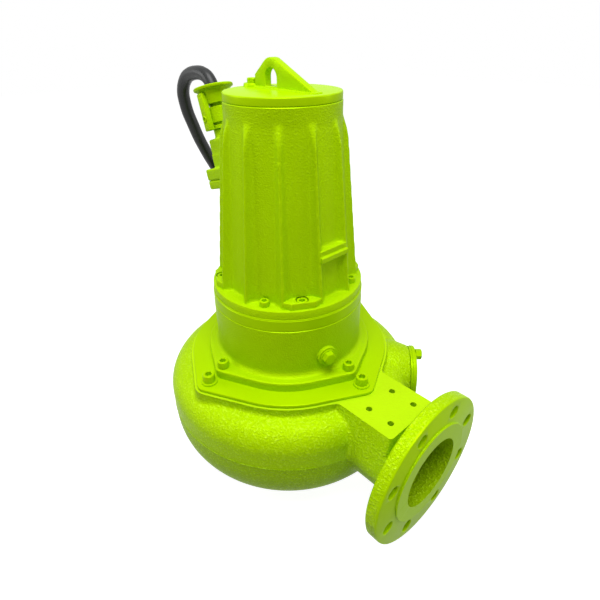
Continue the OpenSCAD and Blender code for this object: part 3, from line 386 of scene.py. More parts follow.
@dataclass
class Studio:
    """Camera, lamps, pale floor and white surroundings."""

    eye: Point = (0.443844, -0.383193, 0.634605)
    azimuth: float = 0.827999
    elevation: float = 0.546281
    roll: float = -0.011709
    focal_px: float = 446.644
    picture_px: float = 600.0
    sensor_mm: float = 36.0
    world_strength: float = 0.17
    floor_shade: float = 0.4
    floor_lift: float = 0.93

    def camera(self) -> Object:
        """Places the camera from the fit to the photograph."""
        data = bpy.data.cameras.new("photo_camera")
        data.sensor_fit = "HORIZONTAL"
        data.sensor_width = self.sensor_mm
        data.lens = self.focal_px / self.picture_px * self.sensor_mm
        data.clip_start, data.clip_end = 0.01, 50.0
        camera = bpy.data.objects.new("photo_camera", data)
        bpy.context.scene.collection.objects.link(camera)
        az, el, roll = self.azimuth, self.elevation, self.roll
        right = Vector((math.cos(az), math.sin(az), 0.0))
        ahead = Vector((-math.sin(az) * math.cos(el), math.cos(az) * math.cos(el), -math.sin(el)))
        up = right.cross(ahead)
        rolled_right = math.cos(roll) * right + math.sin(roll) * up
        rolled_up = math.cos(roll) * up - math.sin(roll) * right
        turn = Matrix((rolled_right, rolled_up, -ahead)).transposed()
        camera.matrix_world = Matrix.Translation(self.eye) @ turn.to_4x4()
        bpy.context.scene.camera = camera
        return camera

    def lamp(self, name: str, place: Point, aim: Point, size: float, watts: float) -> None:
        """Hangs a square soft box that faces a point."""
        data = bpy.data.lights.new(name, "AREA")
        data.shape = "SQUARE"
        data.size = size
        data.energy = watts
        lamp = bpy.data.objects.new(name, data)
        bpy.context.scene.collection.objects.link(lamp)
        lamp.location = place
        lamp.rotation_euler = (Vector(aim) - Vector(place)).to_track_quat("-Z", "Y").to_euler()

    def lamps(self) -> None:
        """Hangs a large box overhead, a low one on the left front and one on the right behind."""
        middle = (0.0, 0.0, 0.3)
        self.lamp("overhead_box", (0.4, -0.35, 2.1), middle, 1.1, 44.5)
        self.lamp("key_box", (-1.35, -1.35, 1.1), middle, 0.7, 13.0)
        self.lamp("fill_box", (1.25, 1.5, 1.0), middle, 0.8, 9.5)

    def seen(self, tree: NodeTree) -> Node:
        """Gives 1 for rays from the camera, a reflection or glass, and 0 for lighting rays."""
        rays = add_node(tree, "LightPath")
        mirrored = add_node(
            tree,
            "Math",
            {0: rays.outputs["Is Camera Ray"], 1: rays.outputs["Is Glossy Ray"]},
            operation="MAXIMUM",
        )
        return add_node(
            tree, "Math", {0: mirrored, 1: rays.outputs["Is Transmission Ray"]}, operation="MAXIMUM"
        )

    def surroundings(self) -> None:
        """White for the camera and for reflections, plain light on everything else."""
        world = bpy.data.worlds.new("white_studio")
        bpy.context.scene.world = world
        world.use_nodes = True
        tree = world.node_tree
        tree.nodes.clear()
        strength = add_node(tree, "MapRange", {
            "Value": self.seen(tree), "To Min": self.world_strength, "To Max": 1.0
        })
        light = add_node(tree, "Background", {"Color": (1.0, 1.0, 1.0, 1.0), "Strength": strength})
        add_node(tree, "OutputWorld", {"Surface": light})

    def floor(self, height: float) -> Object:
        """Lays a pale floor that reads white and keeps the soft shadow."""
        mesh = bmesh.new()
        bmesh.ops.create_grid(mesh, x_segments=1, y_segments=1, size=6.0)
        bmesh.ops.translate(mesh, verts=mesh.verts, vec=(0.0, 0.0, height))
        data = bpy.data.meshes.new("studio_floor")
        mesh.to_mesh(data)
        mesh.free()
        material, tree = new_material("white_painted_floor")
        paint = add_node(tree, "BsdfDiffuse", {"Color": (*[self.floor_shade] * 3, 1.0), "Roughness": 0.5})
        lift = add_node(tree, "MapRange", {
            "Value": self.seen(tree), "To Min": 0.0, "To Max": self.floor_lift
        })
        glow = add_node(tree, "Emission", {"Color": (1.0, 1.0, 1.0, 1.0), "Strength": lift})
        both = add_node(tree, "AddShader", {0: paint, 1: glow})
        add_node(tree, "OutputMaterial", {"Surface": both})
        data.materials.append(material)
        floor = bpy.data.objects.new("studio_floor", data)
        bpy.context.scene.collection.objects.link(floor)
        return floor


def smooth_line(points: Sequence[Sequence[float]], steps: int) -> list[Vector]:
    """Runs a smooth line through points.

    Args:
        points: Points in order.
        steps: Pieces that each span is cut into.

    Returns:
        The points of the line, the given ones among them.
    """
    stops = [Vector(p) for p in points]
    stops = [2 * stops[0] - stops[1], *stops, 2 * stops[-1] - stops[-2]]
    line: list[Vector] = []
    for before, start, end, after in zip(stops, stops[1:], stops[2:], stops[3:]):
        for i in range(steps):
            t = i / steps
            line.append(
                0.5 * (
                    2 * start + (end - before) * t + (
                        2 * before - 5 * start + 4 * end - after
                    ) * t**2 + (3 * start - before - 3 * end + after) * t**3
                )
            )
    line.append(stops[-2])
    return line


def ease(t: float) -> float:
    """Blends from 0 to 1 with level ends."""
    t = min(max(t, 0.0), 1.0)
    return t * t * (3 - 2 * t)


@dataclass
class CableRun:
    """The power cable: out of the gland, down behind the motor and into its coil."""

    route_mm: list[Point] = field(
        default_factory=lambda: [
            (-143, 0, 541), (-149, 0, 561), (-159, 0, 575), (-174, 0, 581), (-194, 0, 581),
            (-215, 0, 576), (-229, 0, 565), (-237, 1, 552), (-240, 3, 540), (-241, 7, 521),
            (-240, 13, 502), (-240, 20, 482), (-242, 29, 464), (-244, 38, 447), (-246, 48, 430),
            (-248, 62, 404), (-249, 77, 370), (-249, 90, 320), (-249, 99, 260), (-250, 105, 205),
            (-254, 109, 160), (-266, 112, 122), (-288, 114, 96),
        ]
    )
    tail_mm: list[Point] = field(
        default_factory=lambda: [(-333, 330, 9.6), (-295, 338, 9.8), (-264, 330, 10), (-242, 312, 10)]
    )
    centre_mm: Pair = (-270.0, 250.0)
    diameter_mm: float = 19.0
    turn_r_mm: float = 138.0
    exit_mm: Point = (-149.0, 0.0, 561.0)
    turn_starts: float = 0.7  # part of a turn after which the cable moves to the next

    def coil_stops(self) -> list[Pair]:
        """Radius and height at the start of each turn, from the top layer down."""
        middle, pitch, low = self.turn_r_mm, self.diameter_mm, self.diameter_mm / 2
        inner, outer = middle - pitch, middle + pitch
        second, third, top = low + pitch, low + 2 * pitch, low + 3 * pitch
        return [
            (outer, top), (outer, third), (middle, third), (inner, third), (inner, second),
            (middle, second), (outer, second), (outer, low), (middle, low), (inner, low), (inner, low),
        ]

    def coil(self, per_turn: int = 20) -> list[Vector]:
        """Points of the coil, wound clockwise from its top layer to the floor."""
        stops = self.coil_stops()
        points: list[Vector] = []
        for (radius, height), (next_radius, next_height) in zip(stops, stops[1:]):
            for i in range(per_turn):
                part = i / per_turn
                blend = ease((part - self.turn_starts) / (1 - self.turn_starts))
                angle = math.pi - 2 * math.pi * part
                r = radius + (next_radius - radius) * blend
                points.append(
                    Vector((
                        self.centre_mm[0] + r * math.cos(angle), self.centre_mm[1] + r * math.sin(angle),
                        height + (next_height - height) * blend,
                    ))
                )
        return points

    def build(self) -> Object:
        rise = smooth_line(self.route_mm, 3)
        start = Vector(self.route_mm[-1])
        joint: list[Vector] = []
        centre = Vector((*self.centre_mm, 0.0))
        first = start - centre
        first_angle = math.atan2(first.y, first.x) % (2 * math.pi)
        top_radius, top_height = self.coil_stops()[0]
        first_radius = math.hypot(first.x, first.y)
        for i in range(1, 8):
            part = i / 8
            angle = first_angle + (math.pi - first_angle) * part
            r = first_radius + (top_radius - first_radius) * ease(part)
            z = start.z + (top_height - start.z) * ease(part)
            joint.append(centre + Vector((r * math.cos(angle), r * math.sin(angle), z)))
        coil = self.coil()
        tail = smooth_line([coil[-2], coil[-1], *self.tail_mm], 3)[3:]
        line = [*rise, *joint, *coil, *tail]
        curve = bpy.data.curves.new("power_cable", "CURVE")
        curve.dimensions = "3D"
        curve.bevel_depth = self.diameter_mm * MM / 2
        curve.bevel_resolution = 5
        curve.use_fill_caps = True
        spline = curve.splines.new("POLY")
        spline.points.add(len(line) - 1)
        for stop, place in zip(spline.points, line):
            stop.co = (*(place * MM), 1.0)
        spline.use_smooth = True
        curve.materials.append(Finishes.of(CableRubber()))
        cable = bpy.data.objects.new("power_cable", curve)
        bpy.context.scene.collection.objects.link(cable)
        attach(cable, BODY)
        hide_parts("cable", "cable_coil", "cable_tail")
        return cable


class Form:
    """A closed mesh in the making, in millimetres in the pump's frame."""

    def __init__(self) -> None:
        """Starts empty."""
        self.mesh = bmesh.new()

    @classmethod
    def lathe(cls, section: Outline, steps: int = 96) -> "Form":
        """Spins a half section about the vertical axis.

        Args:
            section: Points (radius, height). A solid starts and ends on the axis,
                and any other section is closed on itself.
            steps: Pieces round the circle.

        Returns:
            The turned form.
        """
        form = cls()
        verts = [form.mesh.verts.new((r, 0.0, z)) for r, z in section]
        pairs = list(zip(verts, verts[1:]))
        if section[0][0] > 0:
            pairs.append((verts[-1], verts[0]))
        edges = [form.mesh.edges.new(pair) for pair in pairs]
        bmesh.ops.spin(
            form.mesh, geom=[*verts, *edges], cent=(0.0, 0.0, 0.0), axis=(0.0, 0.0, 1.0), angle=math.tau,
            steps=steps, use_merge=True,
        )
        return form.closed()

    @classmethod
    def prism(cls, outline: Outline, low: float, high: float) -> "Form":
        """Raises a flat outline from one height to another."""
        form = cls()
        face = form.mesh.faces.new([form.mesh.verts.new((x, y, low)) for x, y in outline])
        raised = bmesh.ops.extrude_face_region(form.mesh, geom=[face])
        top = [item for item in raised["geom"] if isinstance(item, bmesh.types.BMVert)]
        bmesh.ops.translate(form.mesh, verts=top, vec=(0.0, 0.0, high - low))
        return form.closed()

    @classmethod
    def rod(
        cls, radius: float, low: float, high: float, top: float | None = None, segments: int = 48
    ) -> "Form":
        """Makes an upright cylinder, or a cone if it has another radius at the top."""
        form = cls()
        bmesh.ops.create_cone(
            form.mesh, cap_ends=True, segments=segments, radius1=radius,
            radius2=radius if top is None else top, depth=high - low,
            matrix=Matrix.Translation((0.0, 0.0, (high + low) / 2)),
        )
        return form

    @classmethod
    def block(cls, low: Point, high: Point) -> "Form":
        """Makes a block between two corners."""
        form = cls()
        size = Vector(high) - Vector(low)
        middle = (Vector(high) + Vector(low)) / 2
        place = Matrix.Translation(middle) @ Matrix.Diagonal((*size, 1.0))
        bmesh.ops.create_cube(form.mesh, size=1.0, matrix=place)
        return form

    @classmethod
    def of_mesh(cls, mesh: Mesh) -> "Form":
        """Takes a mesh over."""
        form = cls()
        form.mesh.from_mesh(mesh)
        return form

    def closed(self) -> "Form":
        """Merges doubles and turns the faces outwards."""
        bmesh.ops.remove_doubles(self.mesh, verts=self.mesh.verts[:], dist=0.001)
        bmesh.ops.dissolve_degenerate(self.mesh, dist=0.0005, edges=self.mesh.edges[:])
        bmesh.ops.recalc_face_normals(self.mesh, faces=self.mesh.faces[:])
        return self

    def copy(self) -> "Form":
        """Returns a separate form of the same shape."""
        twin = Form()
        twin.mesh.free()
        twin.mesh = self.mesh.copy()
        return twin

    def moved(self, *places: Matrix) -> "Form":
        """Applies places in turn, the last one first."""
        whole = Matrix.Identity(4)
        for place in places:
            whole = whole @ place
        bmesh.ops.transform(self.mesh, matrix=whole, verts=self.mesh.verts[:])
        return self

    def eased(self, width: float, segments: int = 2, angle: float = 35.0) -> "Form":
        """Bevels every edge that is sharper than an angle in degrees."""
        sharp = [
            edge
            for edge in self.mesh.edges
            if edge.is_manifold and edge.calc_face_angle(0.0) > math.radians(angle)
        ]
        bmesh.ops.bevel(
            self.mesh, geom=sharp, offset=width, offset_type="OFFSET", segments=segments, profile=0.5,
            affect="EDGES", material=-1, clamp_overlap=True,
        )
        return self

    def finished(self, face_kind: Face = Face.TURNED, facing: Point | None = None) -> "Form":
        """Gives a kind of surface to all faces, or to those within 70 degrees of one way."""
        for face in self.mesh.faces:
            if facing is None or face.normal.dot(Vector(facing)) > 0.3:
                face.material_index = face_kind.value
        return self

    def to_mesh(self, name: str, scale: float = 1.0) -> Mesh:
        """Writes the form to a Blender mesh."""
        mesh = bpy.data.meshes.new(name)
        if scale != 1.0:
            bmesh.ops.scale(self.mesh, vec=(scale,) * 3, verts=self.mesh.verts[:])
        self.mesh.to_mesh(mesh)
        return mesh

    def through(self, kind: str, **settings: object) -> "Form":
        """Runs the form through one modifier.

        Args:
            kind: Type of the modifier.
            settings: Its properties. A Form as a value becomes the modifier's object.

        Returns:
            The result as a new form.
        """
        made: list[Object] = []

        def temporary(form: "Form") -> Object:
            mesh = form.to_mesh("work")
            for _ in Face:
                mesh.materials.append(None)
            item = bpy.data.objects.new("work", mesh)
            bpy.context.scene.collection.objects.link(item)
            made.append(item)
            return item

        target = temporary(self)
        modifier = target.modifiers.new("work", kind)
        for name, value in settings.items():
            setattr(modifier, name, temporary(value) if isinstance(value, Form) else value)
        bpy.context.view_layer.update()
        graph = bpy.context.evaluated_depsgraph_get()
        result = bpy.data.meshes.new_from_object(target.evaluated_get(graph))
        form = Form.of_mesh(result)
        bpy.data.meshes.remove(result)
        for item in made:
            mesh = item.data
            bpy.data.objects.remove(item)
            bpy.data.meshes.remove(mesh)
        return form

    def combined(self, operation: Operation, *others: "Form") -> "Form":
        """Joins, cuts or keeps this form with others, which don't touch each other."""
        return self.through("BOOLEAN", operation=operation.value, solver="EXACT", object=gathered(others))

    def cut(self, *others: "Form") -> "Form":
        """Takes other forms away."""
        return self.combined(Operation.CUT, *others)

    def join(self, other: "Form") -> "Form":
        """Fuses another form to this one."""
        return self.combined(Operation.JOIN, other)

    def keep(self, other: "Form") -> "Form":
        """Keeps what lies inside another form."""
        return self.combined(Operation.KEEP, other)

    def cast(self, voxel: float, rounds: int) -> "Form":
        """Fuses overlapping forms into one skin with the soft corners of a casting."""
        skin = self.through("REMESH", mode="VOXEL", voxel_size=voxel)
        for _ in range(rounds):
            bmesh.ops.smooth_vert(
                skin.mesh, verts=skin.mesh.verts[:], factor=0.5, use_axis_x=True, use_axis_y=True,
                use_axis_z=True,
            )
        return skin


def gathered(forms: Iterable[Form]) -> Form:
    """Puts several forms into one without joining their faces."""
    whole = Form()
    for form in forms:
        mesh = form.to_mesh("part")
        whole.mesh.from_mesh(mesh)
        bpy.data.meshes.remove(mesh)
    return whole


def turn_z(degrees: float) -> Matrix:
    """Rotation about the shaft."""
    return Matrix.Rotation(math.radians(degrees), 4, "Z")


def shift(x: float, y: float, z: float) -> Matrix:
    """Translation in millimetres."""
    return Matrix.Translation((x, y, z))


ALONG_X = Matrix.Rotation(math.pi / 2, 4, "Y")


def arc(centre: Pair, radius: float, start: float, end: float, steps: int) -> list[Pair]:
    """Points on an arc, both ends among them, with angles in degrees."""
    return [
        (
            centre[0] + radius * math.cos(math.radians(start + (end - start) * i / steps)),
            centre[1] + radius * math.sin(math.radians(start + (end - start) * i / steps)),
        )
        for i in range(steps + 1)
    ]


def lobed(radius: float, corner_r: float, corner_x: float) -> list[Pair]:
    """Outline of a round plate with four rounded corners on tangents."""
    lean = math.degrees(math.acos((radius - corner_r) / corner_x))
    points: list[Pair] = []
    for k in range(4):
        middle = math.radians(90 * k)
        centre = (corner_x * math.cos(middle), corner_x * math.sin(middle))
        points += arc(centre, corner_r, 90 * k - lean, 90 * k + lean, 14)
        points += arc((0.0, 0.0), radius, 90 * k + lean, 90 * k + 90 - lean, 20)
    return points


def steps_of(low: float, high: float, step: float) -> list[float]:
    """Even steps from one number to another, about one step apart."""
    count = max(1, round((high - low) / step))
    return [low + (high - low) * k / count for k in range(count + 1)]


def four_round(form: Form, start: float = 0.0) -> Form:
    """Repeats a form at the four sides of the shaft, from an angle on."""
    return gathered(form.copy().moved(turn_z(start + 90 * k)) for k in range(4))


def drills(
    radius: float, low: float, high: float, x: float, start: float = 0.0, segments: int = 24
) -> Form:
    """Four upright cutters round the shaft, which leave turned walls."""
    drill = Form.rod(radius, low, high, segments=segments).moved(shift(x, 0, 0))
    return four_round(drill, start).finished()


def place(
    form: Form, name: str, slot: Slot, nodes: Sequence[str] = (), finishes: Sequence[Enamel] = FINE
) -> Object:
    """Turns a form into a piece of the pump.

    Args:
        form: The shape in millimetres.
        name: Name of the piece.
        slot: Material slot of the record.
        nodes: CAD nodes that the piece stands for.
        finishes: Finishes in the order of Face.

    Returns:
        The new object.
    """
    bmesh.ops.triangulate(form.mesh, faces=[face for face in form.mesh.faces if len(face.verts) > 4])
    mesh = form.to_mesh(name, MM)
    form.mesh.free()
    for finish in finishes:
        mesh.materials.append(Finishes.of(finish))
    mesh.polygons.foreach_set("use_smooth", [True] * len(mesh.polygons))
    mesh.set_sharp_from_angle(angle=math.radians(CRISP_DEG))
    piece = bpy.data.objects.new(name, mesh)
    bpy.context.scene.collection.objects.link(piece)
    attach(piece, BODY)
    if nodes:
        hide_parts(*nodes)
    mesh.calc_loop_triangles()
    log.info("%s: %d triangles", name, len(mesh.loop_triangles))
    return piece


@dataclass
class MotorHousing:
    """Tapered casting with twelve ribs, its flange, lugs and ledge."""

    flange_r: float = 108.3
    barrel_low_r: float = 88.0
    barrel_top_r: float = 73.0
    rib_low_r: float = 102.0
    rib_top_r: float = 79.6
    nose_r: float = 2.3
    rib_depth: float = 14.0
    rib_half_width: float = 12.5
    bore_r: float = 62.5
    lug_h: float = 9.5
    sunk_r: float = 8.8
    spot_r: float = 7.1
    ledge_z: float = 397.5
    ledge_x: float = 91.6

    def slope(self) -> float:
        """Inward lean of the ribs, per millimetre of height."""
        return (self.rib_low_r - self.rib_top_r) / (BAND_Z - MOTOR_FLANGE_Z)

    def rib(self) -> Form:
        """One rib along +X: rounded ridge on two flared flanks."""
        nose = arc((-self.nose_r, 0.0), self.nose_r, -90, 90, 10)
        flank = [
            (-depth, self.nose_r + (self.rib_half_width - self.nose_r) * (depth / self.rib_depth) ** 1.7)
            for depth in range(5, 24, 3)
        ]
        foot = [*flank, *[(x, -y) for x, y in reversed(flank)]]
        length = CAP_Z - MOTOR_FLANGE_Z + 4
        lean = Matrix.Rotation(-math.atan(self.slope()), 4, "Y")
        return Form.prism([*nose, *foot], 0.0, length).moved(
            shift(self.rib_low_r, 0.0, MOTOR_FLANGE_Z - 2), lean
        )

    def envelope(self) -> Form:
        """Outline that trims the heads of the ribs under the band."""
        return Form.lathe([
            (0.0, MOTOR_FLANGE_Z - 4), (self.rib_low_r + 3, MOTOR_FLANGE_Z - 4),
            (self.rib_low_r + 3, MOTOR_FLANGE_Z), (self.rib_top_r + 3.5, BAND_Z - 30),
            (self.rib_top_r - 0.6, BAND_Z - 12), (self.barrel_top_r + 2.0, BAND_Z - 1),
            (self.barrel_top_r - 0.4, BAND_Z + 6), (0.0, BAND_Z + 6),
        ])

    def core(self) -> Form:
        """Barrel, ribs, ledge and cable seat in one cast skin."""
        barrel = Form.lathe([
            (0.0, MOTOR_FLANGE_Z - 6), (self.flange_r - 6, MOTOR_FLANGE_Z - 6),
            (self.flange_r - 6, MOTOR_FLANGE_Z - 1.5), (self.barrel_low_r + 1.5, MOTOR_FLANGE_Z + 0.5),
            (self.barrel_top_r, BAND_Z), (self.barrel_top_r, CAP_Z + 6), (0.0, CAP_Z + 6),
        ], steps=160)
        ribs = [self.rib().moved(turn_z(15 + 30 * k)).keep(self.envelope()) for k in range(12)]
        ledge = self.ledge(-1.2)
        seat = CableEntry().seat()
        return gathered([barrel, *ribs, ledge, seat]).cast(1.6, 4)

    def ledge(self, reach: float) -> Form:
        """Shelf between two ribs: a plate on one that stands out a little further."""
        front, top = self.ledge_x + reach, self.ledge_z
        section = [
            (60.0, top - 15.5), (front + 2.6, top - 15.5), (front + 3.2, top - 14.8),
            (front + 3.2, top - 9.2), (front + 2.0, top - 8.0), (front, top - 7.6), (front, top - 1.0),
            (front - 1.0, top), (60.0, top),
        ]
        shelf = Form.prism(section, -30.0, 30.0).moved(Matrix.Rotation(math.pi / 2, 4, "X"))
        wedge = Form.prism([(0.0, 0.0), (120.0, -31.0), (120.0, 31.0)], 300.0, 500.0)
        return shelf.keep(wedge)

    def lug(self) -> Form:
        """Six-sided lug around a sunk screw, crisp from its own core box."""
        x = MOTOR_SCREW_X
        outline = [
            (x - 11, -26.0), (x + 2, -26.0), (x + 9, -16.0), (x + 9, 16.0), (x + 2, 26.0), (x - 11, 26.0)
        ]
        return Form.prism(outline, MOTOR_FLANGE_Z - 1, MOTOR_FLANGE_Z + self.lug_h).eased(1.0, 2)

    def build(self) -> None:
        """Casts the housing, adds its crisp faces and bores it."""
        flange = Form.lathe([
            (0.0, MOTOR_Z), (self.flange_r, MOTOR_Z), (self.flange_r, MOTOR_FLANGE_Z - 1.6),
            (self.flange_r - 0.5, MOTOR_FLANGE_Z - 0.5), (self.flange_r - 1.6, MOTOR_FLANGE_Z),
            (0.0, MOTOR_FLANGE_Z),
        ], steps=160)
        top = self.barrel_top_r
        trim = Form.lathe([
            (0.0, CAP_Z), (top - 1.0, CAP_Z), (top + 0.4, CAP_Z - 1.4), (top + 40, CAP_Z - 1.4),
            (top + 40, CAP_Z + 60), (0.0, CAP_Z + 60),
        ]).finished()
        bore = Form.lathe([
            (0.0, MOTOR_Z - 4), (self.bore_r, MOTOR_Z - 4), (self.bore_r, 518.6), (36.0, 518.6),
            (36.0, 543.6), (30.0, 543.6), (30.0, 548.6), (self.bore_r, 548.6), (self.bore_r, CAP_Z + 9),
            (0.0, CAP_Z + 9),
        ]).finished()
        low = MOTOR_FLANGE_Z
        sunk = drills(self.sunk_r, low, low + self.lug_h + 1, MOTOR_SCREW_X, LUG_AZ, 48)
        spot = drills(self.spot_r, low, low + 10, MOTOR_SCREW_X, HEAD_AZ, 48)
        housing = self.core().cut(trim)
        housing = housing.join(flange)
        housing = housing.join(self.ledge(0.0))
        housing = housing.cut(spot)
        housing = housing.join(four_round(self.lug(), LUG_AZ))
        housing = housing.cut(sunk, bore)
        place(housing, "motor_housing_casting", Slot.ENAMEL, ["motor_housing"])


@dataclass
class CableEntry:
    """Leaning seat, flange, tower and gland that lead the cable into the motor."""

    axis_x: float = 115.8
    joint_z: float = 446.2
    tilt: float = 16.0
    width: float = 59.0
    seat_t: float = 13.0
    flange_t: float = 16.6
    tower_w: float = 36.6
    tower_h: float = 56.5
    step: float = 0.7
    screw_in: float = 5.0
    screw_r: float = 3.2
    screw_sunk: float = 4.8
    sink_r: float = 4.9
    gland_r: float = 17.5
    gland_h: float = 29.0
    grommet_l: float = 16.0
    bell_r: float = 28.25
    bell_h: float = 27.5
    bar_w: float = 13.0
    bar_t: float = 8.6
    clamp_screw_z: float = 27.0
    clamp_sunk: float = 2.4
    cable_r: float = 9.5

    def frame(self) -> Matrix:
        """Place of the joint: +Z along the leaning axis, +X to the shaft."""
        return shift(-self.axis_x, 0.0, self.joint_z) @ Matrix.Rotation(math.radians(-self.tilt), 4, "Y")

    def seat(self) -> Form:
        """Block cast on the motor housing under the entry."""
        half = self.width / 2
        return Form.block((-half, -half, -self.seat_t), (self.axis_x - 68, half, 0.0)).moved(self.frame())

    def housing(self) -> None:
        """Flange and stepped tower, cut clear of the ribs."""
        half, tower = self.width / 2, self.tower_w / 2
        flange = Form.block((-half, -half, 0.0), (half, half, self.flange_t)).eased(1.8, 3)
        body = Form.block((-tower, -tower, 0.0), (tower, tower, self.tower_h)).eased(2.4, 3)
        low = tower + self.step
        ledge_z = (self.flange_t + self.tower_h) / 2
        base = Form.block((-low, -low, 0.5), (low, low, ledge_z)).eased(2.0, 3)
        neck = Form.rod(14.0, self.tower_h - 2, self.tower_h + 12)
        tower_form = gathered([flange, base, body, neck]).cast(1.1, 2)
        way = Form.rod(self.cable_r + 0.5, -4.0, self.tower_h + 20).finished()
        under = Form.block((-90.0, -90.0, -30.0), (90.0, 90.0, 0.1)).finished()
        screw_x = half - self.screw_in

        def pair(form: Form) -> list[Form]:
            return [form.copy().moved(shift(-screw_x, y, 0.0)) for y in (-screw_x, screw_x)]

        holes = pair(Form.rod(self.screw_r, -3.0, self.flange_t + 3, segments=20))
        tower_form = tower_form.cut(under)
        seat_z = self.flange_t - self.screw_sunk
        sunk = pair(Form.rod(self.sink_r, seat_z, self.flange_t + 3).finished())
        tower_form = tower_form.cut(way, *holes)
        tower_form = tower_form.cut(*sunk).moved(self.frame())
        ribs = MotorHousing()
        low_r = ribs.rib_low_r + 0.6
        height = CAP_Z - MOTOR_FLANGE_Z + 2
        clear = Form.rod(low_r, MOTOR_FLANGE_Z - 2, CAP_Z, top=low_r - height * ribs.slope(), segments=96)
        tower_form = tower_form.cut(clear)
        place(tower_form, "cable_entry_casting", Slot.ENAMEL, ["cable_entry_housing"])
        screw = Screw(4.4, 5.0, 3.0, self.flange_t + 7).socket_head()
        screws = gathered(pair(screw.moved(shift(0.0, 0.0, seat_z)))).moved(self.frame())
        place(screws, "cable_entry_screws_painted", Slot.BOLTS, ["cable_entry_screws"], SPRAYED)

    def bars(self, room: float = 0.0) -> list[Form]:
        """Bars down the sides of the gland, with room around them."""
        half, low = self.bar_w / 2 + room, self.tower_h + 11
        high = self.tower_h + self.gland_h + self.bell_h + 4 + room
        reach = self.gland_r + self.bar_t
        return [
            Form.block((-half, self.gland_r - room, low), (half, reach, high)),
            Form.block((-half, -reach, low), (half, room - self.gland_r, high)),
        ]

    def gland(self) -> None:
        """Gland body, bell mouth, clamp bars and their screws."""
        base = self.tower_h + 12
        way = self.cable_r + 0.5
        r, h = self.gland_r, self.gland_h
        pocket = h - self.grommet_l - 2
        body = Form.lathe([
            (way, 0.0), (r - 1.6, 0.0), (r - 1.0, 0.6), (r - 1.0, 4.4), (r - 1.6, 5.0), (r - 4.0, 5.4),
            (r - 4.0, 7.6), (r - 0.8, 8.0), (r, 8.8), (r, h - 0.6), (r - 0.6, h), (r - 4.0, h),
            (r - 4.0, pocket), (way, pocket),
        ], steps=64)
        body.moved(self.frame(), shift(0, 0, base))
        place(body, "gland_body_cast", Slot.ENAMEL, ["gland_body"])
        b, rim = self.bell_h, self.bell_r
        bell = Form.lathe([
            (way, 0.0), (r - 6.0, 0.0), (r - 6.0, 3.4), (r - 5.4, 4.0), (r + 1.2, 4.0), (r + 1.9, 4.8),
            (r + 3.0, b - 12.5), (r + 3.8, b - 9.0), (r + 5.6, b - 6.4), (r + 8.0, b - 4.8),
            (rim - 0.6, b - 3.8), (rim, b - 2.8), (rim, b - 0.9), (rim - 0.9, b), (rim - 3.2, b),
            (rim - 4.4, b - 0.8), (rim - 8.0, b - 4.6), (way + 1.6, b - 7.6), (way, b - 9.0),
        ], steps=72).finished()
        bell.moved(shift(0, 0, base + h))
        bell = bell.cut(*self.bars(0.3)).finished().moved(self.frame())
        place(bell, "gland_bell_cast", Slot.ENAMEL, ["gland_bell"])
        bars, screws = [], []
        screw = Screw(4.6, 3.5, 3.0, 6.0).socket_head()
        screw_z = self.tower_h + self.clamp_screw_z
        seat_y = self.bar_t - self.clamp_sunk
        for side, bar in zip((1, -1), self.bars()):
            turn = Matrix.Rotation(-side * math.pi / 2, 4, "X")
            at_bar = shift(0.0, side * r, screw_z)
            hole = Form.rod(self.screw_r, -3.0, 20.0, segments=20).moved(at_bar, turn)
            sink = Form.rod(5.2, seat_y, self.bar_t + 5).moved(at_bar, turn)
            bars.append(bar.eased(1.5, 3).cut(hole, sink).moved(self.frame()))
            at_seat = shift(0.0, side * (r + seat_y), screw_z)
            screws.append(screw.copy().moved(self.frame(), at_seat, turn))
        bars = gathered(bars).finished(Face.CAST)
        place(bars, "cable_clamp_bars", Slot.ENAMEL, ["cable_clamp"])
        place(gathered(screws), "clamp_screws_painted", Slot.BOLTS, ["clamp_screws"], SPRAYED)

    def build(self) -> None:
        """Makes the entry and its gland."""
        self.housing()
        self.gland()


